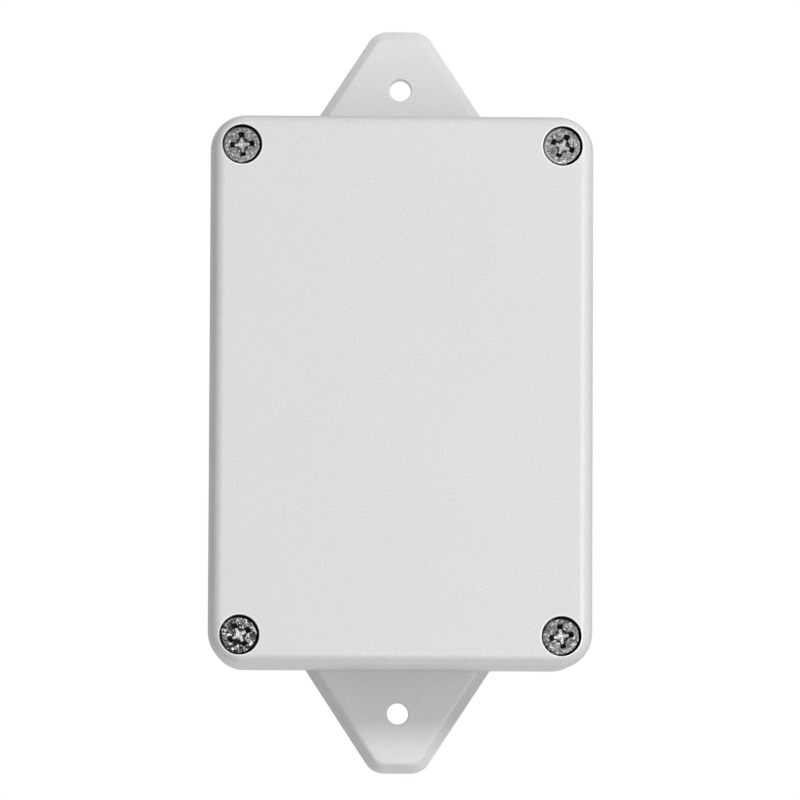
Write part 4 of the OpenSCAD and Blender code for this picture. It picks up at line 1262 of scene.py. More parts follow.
    frame_of(RX - 8.1, RY - 9.85, RX + 8.1, RY + 9.85)
    frame_of(-28.9, -12.4, -8.1, 22.4)
    circle_of(-2.6, 7, 5.35)
    circle_of(-2.0, 18.6, 4.35)
    frame_of(-5.0, -12.9, -0.2, -2.1)
    frame_of(-25.4, 25.4, -3.6, 32.6)
    frame_of(2.6, 16.6, 27.4, 33.4)
    frame_of(9.0, 9.3, 15.0, 12.7)
    line([(14.2, 9.4), (14.2, 12.6)], 0.4)
    circle_of(24.9, 1.3, 3.95)
    frame_of(25.9, 4.8, 29.3, 13.2)
    frame_of(-4.4, 32.0, 2.4, 38.8)
    circle_of(9.0, 36.4, 2.25)
    for x0, x1 in ((-19.5, -3.5), (-1.3, 22.3)):
        line([(x0, -15.6), (x1, -15.6)])
    for x, y in ((6, 14.2), (9.2, 14.2), (12.4, 14.2), (15.6, 14.2), (24, -12.5), (27.4, -12.5), (12.6, 36.6), (16, 36.6), (5, 36.6), (19.4, 36.6)):
        line([(x - 0.5, y + 0.95), (x + 0.5, y + 0.95)], 0.14)
        line([(x - 0.5, y - 0.95), (x + 0.5, y - 0.95)], 0.14)
        for s in (-1, 1):
            p.add(b_box(x + s * 0.95 - 0.5, y - 0.68, BT - 0.01, x + s * 0.95 + 0.5, y + 0.68, BT + 0.05, 0.02, 1), 3)
    # the dividing line between the mains side and the low-voltage side
    for k in range(9):
        y = -11.6 + k * 2.4
        if y < 2:
            line([(1.4, y), (1.4, y + 1.3)], 0.35)
    return p.done(False)


make_board()


def pan_screw(r, h, base, shank_r, shank_z, wing=1.25):
    """Small pan-head screw at the origin with a cross recess."""
    top = base + h
    prof = [(0, base - 0.02), (r - 0.15, base), (r, base + 0.15), (r, base + h * 0.45), (r - 0.12, base + h * 0.68), (r - 0.4, top - 0.1), (r - 0.85, top), (0, top)]
    head = b_turn(prof, n=40)
    tools = []
    for q in range(2):
        bm = bmesh.new()
        c, s = math.cos(q * PI / 2), math.sin(q * PI / 2)
        loft(bm, [[(x * c - y * s, x * s + y * c, z) for x, y in ((l, -w), (l, w), (-l, w), (-l, -w))] for l, w, z in ((wing * 0.7, 0.14, top - 0.85), (wing, 0.24, top - 0.05), (wing * 1.1, 0.36, top + 0.3))])
        tools.append(bm)
    head = cut(head, *tools)
    prof = [(0, shank_z), (shank_r * 0.5, shank_z), (shank_r * 0.86, shank_z + 0.5)]
    z = shank_z + 0.6
    while z < base - 1.0:
        prof += [(shank_r * 0.86, z), (shank_r, z + 0.12), (shank_r, z + 0.2), (shank_r * 0.86, z + 0.34)]
        z += 0.45
    prof += [(shank_r * 0.86, base - 0.3), (shank_r * 0.9, base + 0.05), (0, base + 0.05)]
    return head, b_turn(prof, n=24)


def make_board_screws():
    p = Piece("board_fixing_screws", "base", "bright_steel", ("steel",), ("board_screws",))
    head, shank = pan_screw(2.2, 1.6, BT, 1.1, 3.0)
    for k, (x, y) in enumerate(((-28, -24), (28, -24), (-28, 36), (28, 36))):
        p.add(put(head, x, y, 0, 17 + 61 * k))
        p.add(put(shank, x, y))
    p.done()


make_board_screws()


# ------------------------------------------------------------------ wiring terminals
def make_terminals():
    y0, y1 = -27.0, -16.0
    for name, cells in (("supply_terminal", TX[:2]), ("output_terminal", TX[2:])):
        x0 = cells[0] - 3.81 + 0.05
        x1 = cells[-1] + 3.81 - 0.05
        side = [(y0, BT + 0.25), (y0 + 0.25, BT), (y1 - 0.3, BT), (y1, BT + 0.3), (y1, BT + 13.4), (y1 - 0.6, BT + 14), (y0 + 2.1, BT + 14), (y0 + 1.4, BT + 13.3), (y0 + 1.4, BT + 11.1),
                (y0 + 1.05, BT + 10.5), (y0 + 0.2, BT + 10.25), (y0, BT + 10.0)]
        body = b_prism(side, x0, x1, 0.18, "x")
        shaft, mouth, foot, hole = bmesh.new(), bmesh.new(), bmesh.new(), bmesh.new()
        groove = bmesh.new()
        for x in cells:
            box_bm(shaft, x - 2.65, CAGE_Y - 3.15, BT + 0.8, x + 2.65, CAGE_Y + 3.15, BT + 10.4)
            loft(mouth, [[(x + a * w, y, BT + 4.1 + b * h) for a, b in ((-1, -1), (1, -1), (1, 1), (-1, 1))] for w, h, y in ((2.6, 2.6, y0 - 0.2), (1.9, 1.9, y0 + 0.75), (1.9, 1.9, CAGE_Y))])
            box_bm(foot, x - 1.9, y1 - 2.8, BT - 1, x + 1.9, y1 - 0.5, BT + 6.4)
            lathe(hole, [(0, BT + 9), (1.32, BT + 9), (1.32, BT + 11.4), (2.05, BT + 11.4), (2.05, BT + 13.5), (2.55, BT + 14.02), (2.55, BT + 15), (0, BT + 15)], x, CAGE_Y, 32)
        for x in cells[1:]:
            c = x - 3.81
            box_bm(groove, c - 0.16, y1 - 0.35, BT - 1, c + 0.16, y1 + 1, BT + 15)
            box_bm(groove, c - 0.16, y0 - 1, BT + 13.7, c + 0.16, y1 - 0.5, BT + 15)
        body = cut(body, shaft, mouth, foot, hole, groove)
        p = Piece(name + "_block", "base", "terminal_plastic", ("terminal",), (name,), 30)
        p.add(body)
        # low fins between the wire mouths
        for x in cells[1:]:
            c = x - 3.81
            p.add(b_box(c - 0.45, y0 - 0.02, BT + 1.4, c + 0.45, y0 + 0.6, BT + 9.6, 0.12))
        p.done()
    p = Piece("terminal_tongue_strips", "base", "tinned_metal", ("tin",), ("terminal_tongues",))
    for x in TX:
        p.add(b_sheet([(CAGE_Y - 3.05, BT + 5.5), (CAGE_Y + 3.7, BT + 5.5), (CAGE_Y + 3.7, BT + 0.05)], 0.8, x - 1.6, x + 1.6, 0.08))
        p.add(b_sheet([(CAGE_Y + 3.75, BT + 0.42), (-16.6, BT + 0.42), (-16.6, BZ - 1.3)], 0.7, x - 0.5, x + 0.5, 0.08, bend=0.3))
    p.done()
    for k, x in enumerate(TX, 1):
        zc = BT + 0.9
        cage = b_box(x - 2.5, CAGE_Y - 3, zc, x + 2.5, CAGE_Y + 3, zc + 6.6, 0.45, 3)
        win = b_box(x - 1.8, CAGE_Y - 5, zc + 1.2, x + 1.8, CAGE_Y + 5, zc + 5.2, 0.35, 2)
        hole = b_turn([(0, zc + 4), (1.25, zc + 4), (1.25, zc + 6.35), (1.55, zc + 6.62), (1.55, zc + 8), (0, zc + 8)], (x, CAGE_Y, 0), n=28)
        cage = cut(cage, win, hole)
        # pressed serrations that grip the wire
        p = Piece("terminal_cage_%d_pressed" % k, "cage_%d" % k, "clamp_brass", ("brass",), ("terminal_cage_%d" % k,))
        p.add(cage)
        for q in (-1.8, -0.6, 0.6, 1.8):
            p.add(b_prism([(CAGE_Y + q - 0.22, zc + 1.15), (CAGE_Y + q + 0.22, zc + 1.15), (CAGE_Y + q, zc + 1.38)], x - 1.7, x + 1.7, 0, "x"))
        p.done()
    for k, x in enumerate(TX, 1):
        z = BT + 11.5
        head = b_turn([(0, z), (1.7, z), (1.95, z + 0.2), (1.95, z + 1.35), (1.85, z + 1.58), (1.6, z + 1.7), (0, z + 1.7)], (x, CAGE_Y, 0), n=36)
        a = math.radians(20 + 37 * (k - 1))
        c, s = math.cos(a), math.sin(a)
        slot = bmesh.new()
        loft(slot, [[(x + u * c - v * s, CAGE_Y + u * s + v * c, h) for u, v in ((3, -w), (3, w), (-3, w), (-3, -w))] for w, h in ((0.33, z + 0.85), (0.36, z + 1.55), (0.62, z + 1.9))])
        head = cut(head, slot)
        prof = [(0, BT + 5.95), (0.8, BT + 5.95), (1.0, BT + 6.2)]
        h = BT + 6.3
        while h < z - 0.6:
            prof += [(1.02, h), (1.2, h + 0.2), (1.2, h + 0.28), (1.02, h + 0.48)]
            h += 0.5
        prof += [(1.02, z - 0.05), (1.02, z + 0.05), (0, z + 0.05)]
        p = Piece("terminal_screw_%d_slotted" % k, "clamp_screw_%d" % k, "clamp_screw_steel", ("clamp_screw",), ("terminal_screw_%d" % k,))
        p.add(head)
        p.add(b_turn(prof, (x, CAGE_Y, 0), n=28))
        p.done()


make_terminals()


# ------------------------------------------------------------------ relay
def make_relay():
    top = BT + 15.4
    p = Piece("relay_clear_cover", "base", "relay_cover_plastic", ("cover",), ("relay_cover",), 30)
    w, l = 15.5, 19.0
    stack = [(w - 2.2, l - 2.2, 0.3, top - 0.9), (w - 1.7, l - 1.7, 0.45, top - 1.0), (w - 1.6, l - 1.6, 0.5, top - 1.3), (w - 1.6, l - 1.6, 0.5, BT + 0.25), (w - 1.3, l - 1.3, 0.6, BT + 0.1),
             (w - 0.16, l - 0.16, 0.8, BT + 0.1), (w, l, 0.85, BT + 0.2), (w, l, 0.85, BT + 0.9), (w - 0.2, l - 0.2, 0.8, BT + 1.05)]
    stack += [(w - 0.2 - 1.6 * (1 - math.cos(t)), l - 0.2 - 1.6 * (1 - math.cos(t)), max(0.1, 0.8 - 0.7 * (1 - math.cos(t))), top - 0.8 + 0.8 * math.sin(t)) for t in (PI / 2 * k / 6 for k in range(0, 7))]
    p.add(b_slab(stack, RX, RY, 6))
    p.add(b_turn([(0, top - 0.02), (0.75, top - 0.02), (0.7, top + 0.25), (0.5, top + 0.42), (0, top + 0.45)], (RX - 5.6, RY + 7.2, 0), n=20))
    p.done()
    z0, z1 = RZ + 0.85, RZ + 8.55
    turns = 25
    prof = [(2.25, z0), (3.5, z0)]
    pitch = (z1 - z0) / turns
    for k in range(turns):
        c = z0 + pitch * (k + 0.5)
        prof += [(3.59 + 0.16 * math.cos(t), c + pitch * 0.48 * math.sin(t)) for t in (-PI / 2, -PI / 4, 0, PI / 4, PI / 2)]
    prof += [(3.5, z1), (2.25, z1)]
    p = Piece("relay_coil_winding", "base", "copper_wire", ("copper",), ("relay_winding",), 60)
    p.add(b_turn(prof, (RX, RY + 3.2, 0), n=48))
    p.done(False)
    refine("relay_base", "base", "black_plastic", ("black",), 0.1)
    refine("relay_bobbin", "base", "bobbin_plastic", ("bobbin",), 0.12)
    refine("relay_core", "base", "magnet_iron", ("iron",), 0.1)
    refine("relay_yoke", "base", "magnet_iron", ("iron",), 0.12)
    refine("relay_pins", "base", "tinned_metal", ("tin",), 0.08)
    refine("relay_fixed_contacts", "base", "contact_metal", ("contact", "silver"), 0.06, rule=lambda f: 1 if abs(plan(f)[1] - (HINGE_Y - 12.6)) < 1.15 and abs(plan(f)[0] - RX) < 1.15 and f.calc_area() < 4e-6 and (abs(plan(f)[2] - RZ - 10.1) < 0.3 or abs(plan(f)[2] - RZ - 12.12) < 0.16) else 0)
    refine("relay_armature", "relay_rocker", "magnet_iron", ("iron",), 0.12)
    refine("relay_contact_spring", "relay_rocker", "contact_bronze", ("bronze", "silver"), 0.04, rule=lambda f: 1 if plan(f)[1] < HINGE_Y - 11.4 and not (HINGE_Z + 0.94 < plan(f)[2] < HINGE_Z + 1.16 and abs(plan(f)[0] - RX) > 1.2) and math.hypot(plan(f)[0] - RX, plan(f)[1] - HINGE_Y + 12.6) < 1.2 else 0)


make_relay()


# ------------------------------------------------------------------ power side
def make_power():
    cx, cy = -18.5, 5.0
    p = Piece("power_module_block", "base", "potting_black", ("potting", "epoxy", "tin"), ("power_module",), 30)
    stack = [(19.2, 33.2, 0.5, BT), (19.8, 33.8, 0.8, BT + 0.1), (20, 34, 0.9, BT + 0.4), (19.7, 33.7, 0.9, BT + 14.5), (19.5, 33.5, 0.9, BT + 14.85), (19.0, 33.0, 0.8, BT + 15), (17.3, 31.3, 0.7, BT + 15),
             (17.05, 31.05, 0.65, BT + 14.92), (16.95, 30.95, 0.6, BT + 14.7)]
    p.add(b_slab(stack, cx, cy, 6), 0, lambda f: 1 if plan(f)[2] > BT + 14.6 and abs(plan(f)[0] - cx) < 8.3 and abs(plan(f)[1] - cy) < 15.3 else 0)
    for x, y in ((-25.5, -9), (-18.5, -9), (-11.5, -9), (-24.8, 19), (-12.2, 19)):
        p.add(b_wire([(x, y, BT + 0.05), (x, y, BZ - 1.1)], 0.38), 2)
    p.done()
    # fuse in its two clips
    fx, fy, fz = -14.5, 29.0, BT + 3.6
    p = Piece("fuse_holder_clips", "base", "tinned_metal", ("tin",), ("fuse_clips",))
    for i in (-1, 1):
        c = fx + i * 7.6
        p.add(b_box(c - 2.2, fy - 2.5, BT, c + 2.2, fy + 2.5, BT + 0.45, 0.1))
        for j in (-1, 1):
            for u in (-1, 1):
                path = [(fy + j * 1.2, BT + 0.25), (fy + j * 2.86, BT + 0.25), (fy + j * 2.86, BT + 5.4), (fy + j * 3.05, BT + 6.6)]
                p.add(b_sheet(path, 0.38, c + u * 1.2 - 0.95, c + u * 1.2 + 0.95, 0.06, bend=0.5))
            p.add(b_wire([(c, fy + j * 1.4, BT + 0.2), (c, fy + j * 1.4, BZ - 1.1)], 0.4), 0)
        # end stop
        p.add(b_sheet([(c + i * 0.4, BT + 0.25), (c + i * 2.62, BT + 0.25), (c + i * 2.62, BT + 2.1)], 0.32, fy - 1.2, fy + 1.2, 0.05, "y", bend=0.35))
    p.done()
    p = Piece("fuse_glass_tube", "fuse", "fuse_tube_glass", ("glass",), ("fuse_glass",), 40)
    p.add(b_turn([(1.72, -6.9), (2.12, -6.9), (2.2, -6.8), (2.2, 6.8), (2.12, 6.9), (1.72, 6.9)], (fx, fy, fz), "x", 40))
    p.done(False)
    p = Piece("fuse_end_caps", "fuse", "bright_steel", ("steel", "tin"), ("fuse_caps",))
    for i in (-1, 1):
        prof = [(0, i * 2.18), (0.55, i * 2.12), (0.62, i * 2.3), (1.9, i * 2.34), (2.35, i * 2.36), (2.55, i * 2.2), (2.6, i * 1.95), (2.6, i * -1.1), (2.52, i * -1.25), (2.52, i * -1.4), (2.6, i * -1.55), (2.6, i * -2.3),
                (2.5, i * -2.4), (2.28, i * -2.4), (2.24, i * -2.3), (2.24, i * -0.4), (0, i * -0.4)]
        p.add(b_turn(prof, (fx + i * 7.6, fy, fz), "x", 40))
    p.add(b_wire([(fx - 7.2, fy, fz), (fx - 3.0, fy, fz - 0.15), (fx, fy + 0.1, fz - 0.25), (fx + 3.0, fy, fz - 0.12), (fx + 7.2, fy, fz)], 0.09, 8, 2.0), 1)
    p.done()
    # varistor
    c = (-2.6, -7.5, BT + 7.2)
    p = Piece("varistor_disc", "base", "varistor_blue", ("varistor", "tin"), ("varistor",), 50)
    p.add(b_turn([(0, -1.86), (1.6, -1.9), (3.4, -1.78), (4.3, -1.5), (4.8, -1.0), (4.98, -0.35), (4.98, 0.35), (4.8, 1.0), (4.3, 1.5), (3.4, 1.78), (1.6, 1.9), (0, 1.86)], c, "x", 48))
    for j in (-1, 1):
        y = c[1] + j * 2.5
        p.add(b_turn([(0, c[2] - 3.6), (1.15, c[2] - 3.8), (0.95, c[2] - 4.7), (0.6, c[2] - 5.5), (0.46, c[2] - 6.0), (0, c[2] - 6.1)], (c[0], y, 0), n=18))
        p.add(b_wire([(c[0], y, c[2] - 4.2), (c[0], y, BZ - 1.1)], 0.36), 1)
    p.done()
    # electrolytic capacitors
    p = Piece("capacitor_cans", "base", "capacitor_sleeve", ("sleeve", "stripe", "tin", "black"), ("smoothing_capacitors",), 35)
    for x, y, r, h, deg, lead in ((-2.6, 7, 5, 12.5, 70, 2.5), (-2.0, 18.6, 4, 11, 160, 1.75)):
        prof = [(0, 0.12), (r - 0.9, 0.12), (r - 0.75, 0.02), (r - 0.3, 0.05), (r - 0.02, 0.3), (r, 0.6), (r, 1.15), (r - 0.1, 1.4), (r - 0.32, 1.6), (r - 0.1, 1.8), (r, 2.05), (r, 4.0), (r, 7.0), (r, h - 0.55),
                (r - 0.1, h - 0.25), (r - 0.32, h - 0.05), (r - 0.6, h), (r - 0.85, h - 0.02), (r - 0.9, h - 0.12), (0, h - 0.12)]
        d = math.radians(deg)
        bm = b_turn([(q, BT + z) for q, z in prof], (x, y, 0), n=48)

        def paint(f, x=x, y=y, d=d, r=r, h=h):
            a, b, z = plan(f)
            if z > BT + h - 0.2 and math.hypot(a - x, b - y) < r - 0.5:
                return 2
            if z < BT + 0.2:
                return 3
            t = math.atan2(b - y, a - x) - d
            t = math.atan2(math.sin(t), math.cos(t))
            return 1 if abs(t) < 0.36 and z > BT + 0.9 and z < BT + h - 0.05 and math.hypot(a - x, b - y) > r - 0.5 else 0

        top = BT + h
        lid = b_turn([(0, top - 0.5), (r - 0.95, top - 0.5), (r - 0.95, top - 0.16), (r - 1.05, top - 0.06), (0, top - 0.02)], (x, y, 0), n=40)
        tools = []
        for q in range(3):
            c_, s_ = math.cos(d + q * PI / 3), math.sin(d + q * PI / 3)
            g = bmesh.new()
            loft(g, [[(x + u * c_ - v * s_, y + u * s_ + v * c_, z) for u, v in ((r * 0.62, -w), (r * 0.62, w), (-r * 0.62, w), (-r * 0.62, -w))] for w, z in ((0.03, top - 0.2), (0.16, top + 0.05), (0.3, top + 0.3))])
            tools.append(g)
        p.add(bm, 0, paint)
        p.add(cut(lid, *tools), 2)
        for s in (-1, 1):
            p.add(b_wire([(x, y + s * lead, BT + 0.15), (x, y + s * lead, BZ - 1.1)], 0.32), 2)
    p.done()


make_power()


# ------------------------------------------------------------------ small components
def make_small():
    p = Piece("diode_body", "base", "component_black", ("epoxy", "stripe", "tin"), ("diode",))
    c = (12.0, 11.0, BT + 1.5)
    p.add(b_turn([(0, -2.6), (1.1, -2.6), (1.3, -2.4), (1.35, -2.1), (1.35, 1.15), (1.36, 1.2), (1.36, 1.95), (1.35, 2.0), (1.3, 2.4), (1.1, 2.6), (0, 2.6)], c, "x", 32), 0, lambda f: 1 if 1.18 < plan(f)[0] - 12 < 1.98 else 0)
    for s in (-1, 1):
        p.add(b_wire([(12 + s * 2.5, 11, BT + 1.5), (12 + s * 4.9, 11, BT + 1.5), (12 + s * 4.9, 11, BZ - 1.1)], 0.36, 12, 0.8), 2)
    p.done()
    p = Piece("transistor_body", "base", "component_black", ("epoxy", "tin"), ("transistor",))
    q = math.asin(1.2 / 2.4)
    loop = [(22 + 2.4 * math.cos(t), 11.5 + 2.4 * math.sin(t)) for t in [-q + (PI + 2 * q) * k / 20 for k in range(21)]]
    p.add(b_prism(loop, BT + 2, BT + 6.6, 0.16))
    for i in (-1, 0, 1):
        x = 22 + i * 1.27
        p.add(b_box(x - 0.2, 11.3, BT - 0.6, x + 0.2, 11.7, BT + 2.1, 0.05), 1)
    p.done()
    p = Piece("chip_parts_fitted", "base", "component_black", ("epoxy", "ceramic", "tin", "solder"), ("chip_parts",))
    for k, (x, y) in enumerate(((6, 14.2), (9.2, 14.2), (12.4, 14.2), (15.6, 14.2), (24, -12.5), (27.4, -12.5), (12.6, 36.6), (16, 36.6), (5, 36.6), (19.4, 36.6))):
        kind = k % 3 == 1
        p.add(b_box(x - 0.72, y - 0.6, BT + 0.04, x + 0.72, y + 0.6, BT + (0.58 if kind else 0.5), 0.05), 1 if kind else 0)
        for s in (-1, 1):
            a, b = sorted((x + s * 0.62, x + s * 1.0))
            p.add(b_box(a, y - 0.625, BT + 0.02, b, y + 0.625, BT + (0.62 if kind else 0.54), 0.06), 2)
            p.add(b_prism([(x + s * 0.98, BT + 0.42), (x + s * 0.98, BT + 0.03), (x + s * 1.38, BT + 0.03), (x + s * 1.12, BT + 0.14)], y - 0.58, y + 0.58, 0.03, "y"), 3)
    p.done()
    # radio module
    p = Piece("radio_board_castellated", "base", "radio_mask", ("radio_mask", "laminate", "contact", "solder", "ceramic", "epoxy"), ("radio_board",), 30)
    z = BT + 0.02
    body = b_slab([(23.9, 15.9, 0.3, z), (24, 16, 0.35, z + 0.05), (24, 16, 0.35, z + 0.73), (23.9, 15.9, 0.3, z + 0.78)], 15, 25, 4)
    notch = bmesh.new()
    for k in range(12):
        x = 4.4 + k * 1.5
        for y in (17.0, 33.0):
            lathe(notch, [(0, z - 1), (0.32, z - 1), (0.32, z + 2), (0, z + 2)], x, y, 14)
    body = cut(body, notch)
    p.add(body, 0, lambda f: 1 if abs(f.normal.y) < 0.5 else 0)
    for k in range(12):
        x = 4.4 + k * 1.5
        for y, s in ((17.0, 1), (33.0, -1)):
            a, b = sorted((y + s * 0.3, y + s * 1.3))
            p.add(b_box(x - 0.45, a, z + 0.76, x + 0.45, b, z + 0.83, 0.02, 1), 2)
            p.add(b_prism([(y + s * 0.12, z + 0.6), (y + s * 0.12, z), (y - s * 0.75, z), (y - s * 0.3, z + 0.18)], x - 0.42, x + 0.42, 0.03, "x"), 3)
    ant = [(23.4, 18.6), (26.3, 18.6)]
    y = 18.6
    for k in range(6):
        x = 26.3 if k % 2 == 0 else 24.0
        y += 2.0
        ant += [(x, y)] + ([(24.0 if x > 25 else 26.3, y)] if k < 5 else [])
    p.add(b_prism(thicken(ant, 0.5), z + 0.77, z + 0.82, 0), 2)
    for x, y, w, d, m in ((5.6, 21.5, 1.6, 1.2, 4), (5.6, 24.0, 1.2, 0.8, 5), (5.2, 26.4, 2.0, 1.6, 5), (5.7, 29.3, 1.6, 0.9, 4)):
        p.add(b_box(x - w / 2, y - d / 2, z + 0.77, x + w / 2, y + d / 2, z + 1.35, 0.06), m)
    p.done(False)
    p = Piece("radio_shield_can", "base", "bright_steel", ("steel",), ("radio_shield",), 30)
    s0 = BT + 0.8
    w, l, t = 15.0, 12.0, s0 + 2.2
    stack = [(w - 1.0, l - 1.0, 0.3, t - 0.2), (w - 0.55, l - 0.55, 0.35, t - 0.26), (w - 0.44, l - 0.44, 0.4, t - 0.5), (w - 0.4, l - 0.4, 0.4, s0 + 0.02), (w - 0.05, l - 0.05, 0.5, s0 + 0.02), (w, l, 0.5, s0 + 0.08),
             (w, l, 0.5, s0 + 0.75), (w - 0.1, l - 0.1, 0.48, s0 + 0.8), (w - 0.1, l - 0.1, 0.48, s0 + 0.86), (w, l, 0.5, s0 + 0.92), (w, l, 0.5, t - 0.4), (w - 0.06, l - 0.06, 0.48, t - 0.22), (w - 0.24, l - 0.24, 0.42, t - 0.07), (w - 0.5, l - 0.5, 0.36, t)]
    can = b_slab(stack, 15.5, 25, 6)
    dots = bmesh.new()
    for a in range(-2, 3):
        for b in (-1, 1):
            lathe(dots, [(0, t - 0.12), (0.35, t - 0.08), (0.45, t + 0.5), (0, t + 0.5)], 15.5 + a * 2.4, 25 + b * 4.2, 14)
    can = cut(can, dots)
    p.add(can)
    p.done()
    # regulator
    p = Piece("regulator_package", "base", "component_black", ("epoxy", "tin", "solder"), ("regulator",))
    cx, cy = 25.4, -6.4
    side = [(cy - 1.75, BT + 0.9), (cy - 1.62, BT + 1.6), (cy + 1.62, BT + 1.6), (cy + 1.75, BT + 0.9), (cy + 1.62, BT + 0.14), (cy - 1.62, BT + 0.14)]
    p.add(b_prism(side, cx - 3.25, cx + 3.25, 0.15, "x"))
    for i in (-1, 0, 1):
        x = cx + i * 2.3
        p.add(b_sheet([(cy - 1.6, BT + 0.88), (cy - 2.3, BT + 0.88), (cy - 2.75, BT + 0.16), (cy - 3.45, BT + 0.16)], 0.26, x - 0.35, x + 0.35, 0.03, bend=0.25), 1)
        p.add(b_box(x - 0.6, cy - 3.75, BT - 0.01, x + 0.6, cy - 2.6, BT + 0.07, 0.03, 1), 2)
    p.add(b_sheet([(cy + 1.6, BT + 0.88), (cy + 2.2, BT + 0.88), (cy + 2.6, BT + 0.16), (cy + 3.5, BT + 0.16)], 0.26, cx - 1.5, cx + 1.5, 0.03, bend=0.25), 1)
    p.done()
    # drum inductor
    p = Piece("inductor_drum", "base", "ferrite", ("ferrite", "copper"), ("inductor",), 40)
    prof = [(0, 0.02), (3.3, 0.02), (3.55, 0.15), (3.6, 0.4), (3.6, 0.85), (3.5, 1.05), (3.2, 1.15), (2.2, 1.2), (2.2, 5.6), (3.2, 5.65), (3.5, 5.78), (3.6, 5.95), (3.6, 6.45), (3.5, 6.7), (3.3, 6.8), (1.1, 6.8), (0.9, 6.6), (0, 6.58)]
    p.add(b_turn([(r, BT + z) for r, z in prof], (24.9, 1.3, 0), n=44))
    n = 15
    z0, z1 = BT + 1.22, BT + 5.6
    pitch = (z1 - z0) / n
    prof = [(2.1, z0)]
    for k in range(n):
        c = z0 + pitch * (k + 0.5)
        prof += [(2.98 + 0.12 * math.cos(t), c + pitch * 0.48 * math.sin(t)) for t in (-PI / 2, -PI / 4, 0, PI / 4, PI / 2)]
    prof += [(2.1, z1)]
    p.add(b_turn(prof, (24.9, 1.3, 0), n=40), 1)
    p.done(False)
    # pairing button
    bx, by = -1.0, 35.4
    legs = []
    for i in (-1, 1):
        for j in (-1, 1):
            y = by + j * 2.25
            legs.append((b_sheet([(bx + i * 2.6, BT + 1.2), (bx + i * 3.2, BT + 1.2), (bx + i * 3.2, BT + 0.4), (bx + i * 3.05, BT - 0.2), (bx + i * 3.2, BZ - 1.0)], 0.25, y - 0.35, y + 0.35, 0.03, "y", bend=0.2), 1))
    refine("button_base", "base", "black_plastic", ("black", "tin"), 0.1, extra=legs)
    rivets = [(b_turn([(0, BT + 3.3), (0.42, BT + 3.3), (0.4, BT + 3.45), (0.25, BT + 3.52), (0, BT + 3.54)], (bx + i * 2.35, by + j * 2.35, 0), n=16), 1) for i in (-1, 1) for j in (-1, 1)]
    refine("button_frame", "base", "bright_steel", ("steel", "black"), 0.06, extra=rivets)
    p = Piece("button_plunger_round", "pair_button", "black_plastic", ("black",), ("button_plunger",), 35)
    p.add(b_turn([(0, BT + 1.95), (2.0, BT + 1.95), (2.0, BT + 2.85), (1.9, BT + 2.95), (1.76, BT + 2.97), (1.75, BT + 3.2), (1.72, BT + 6.85), (1.62, BT + 7.12), (1.4, BT + 7.27), (1.1, BT + 7.3), (0.5, BT + 7.24), (0, BT + 7.22)], (bx, by, 0), n=40))
    p.done()
    # lamp
    p = Piece("status_lamp", "base", "lamp_green", ("lamp", "tin"), ("status_led",), 40)
    lx, ly = 9.0, 36.4
    dome = [(1.5 * math.cos(t), BT + 4 + 1.5 * math.sin(t)) for t in (PI / 2 * k / 8 for k in range(0, 8))]
    p.add(b_turn([(0, BT + 0.02), (1.8, BT + 0.02), (1.9, BT + 0.12), (1.9, BT + 0.85), (1.82, BT + 0.98), (1.52, BT + 1.02), (1.5, BT + 1.1)] + dome + [(0, BT + 5.5)], (lx, ly, 0), n=40))
    for s in (-1, 1):
        p.add(b_wire([(lx + s * 1.27, ly, BT + 0.1), (lx + s * 1.27, ly, BZ - 1.1)], 0.28), 1)
    p.done()
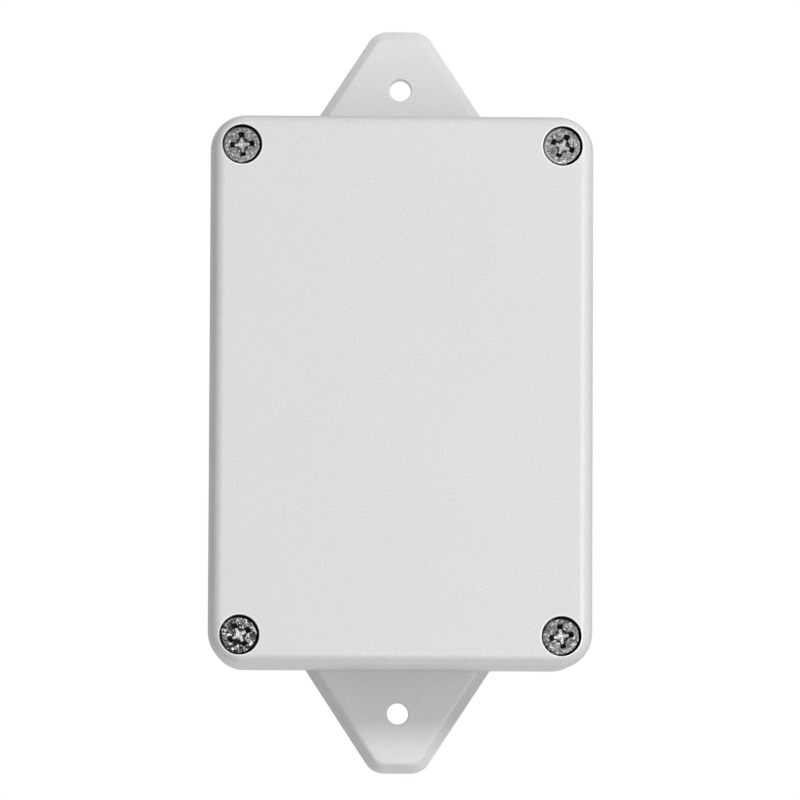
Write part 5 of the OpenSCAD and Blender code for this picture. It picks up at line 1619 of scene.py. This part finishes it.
    # mode jumper
    jx, jy = 27.6, 9.0
    refine("jumper_header", "base", "black_plastic", ("black",), 0.12)
    p = Piece("jumper_pin_row", "base", "contact_metal", ("contact",), ("jumper_pins",))
    for i in (-1, 0, 1):
        y = jy + i * 2.54
        q = bmesh.new()
        loft(q, [[(jx + a * w, y + b * w, h) for a, b in ((-1, -1), (1, -1), (1, 1), (-1, 1))] for w, h in ((0.16, BZ - 1.2), (0.3, BZ - 0.9), (0.32, BZ), (0.32, BT + 7.6), (0.28, BT + 7.85), (0.16, BT + 8.2))])
        p.add(q)
    p.done()
    refine("jumper_cap", "mode_jumper", "jumper_red", ("jumper",), 0.18)


make_small()


# ------------------------------------------------------------------ seals and washers
def make_seals():
    p = Piece("cable_grommet_ring", "base", "black_rubber", ("rubber",), ("cable_grommet",), 40)
    prof = [(4.45, 0.02), (4.15, 0.1), (4.02, 0.35), (4.0, 0.8), (4.0, 3.2), (4.02, 3.65), (4.15, 3.9), (4.45, 4.0), (6.1, 4.0), (6.55, 3.9), (7.15, 3.58), (7.36, 3.35), (7.4, 3.1), (7.4, 2.75), (7.28, 2.56),
            (7.0, 2.5), (6.05, 2.5), (5.95, 2.4), (5.95, 1.1), (6.05, 1.0), (6.8, 1.0), (6.95, 0.92), (7.0, 0.75), (7.0, 0.3), (6.93, 0.1), (6.75, 0.02), (6.1, 0.0), (5.95, 0.02), (5.85, 0.2), (5.55, 0.2), (5.45, 0.02), (5.3, 0.0)]
    p.add(b_turn(prof, (0, GY, 0), n=64))
    p.done(False)
    p = Piece("lid_gasket_cord", "cover", "black_rubber", ("rubber",), ("lid_gasket",), 50)
    sec = [(0.82, CD + 0.18), (0.82, CD + 1.0), (0.95, CD + 1.13), (1.25, CD + 1.15), (1.55, CD + 1.13), (1.68, CD + 1.0), (1.68, CD + 0.18), (1.55, CD + 0.04), (1.25, CD), (0.95, CD + 0.04)]
    p.add(b_ring(rr_loft(sec, BW, BH, CR, 14)))
    p.done(False)
    for tag, i, j in (("tl", -1, 1), ("tr", 1, 1), ("bl", -1, -1), ("br", 1, -1)):
        z = SEAT - 0.6
        p = Piece("screw_washer_%s_round" % tag, "washer_" + tag, "nylon", ("nylon",), ("screw_washer_" + tag,))
        p.add(b_turn([(1.78, z + 0.12), (1.9, z), (3.15, z), (3.3, z + 0.12), (3.3, z + 0.46), (3.2, z + 0.58), (1.95, z + 0.6), (1.82, z + 0.5)], (i * SX, j * SY, 0), n=48))
        p.done()


make_seals()
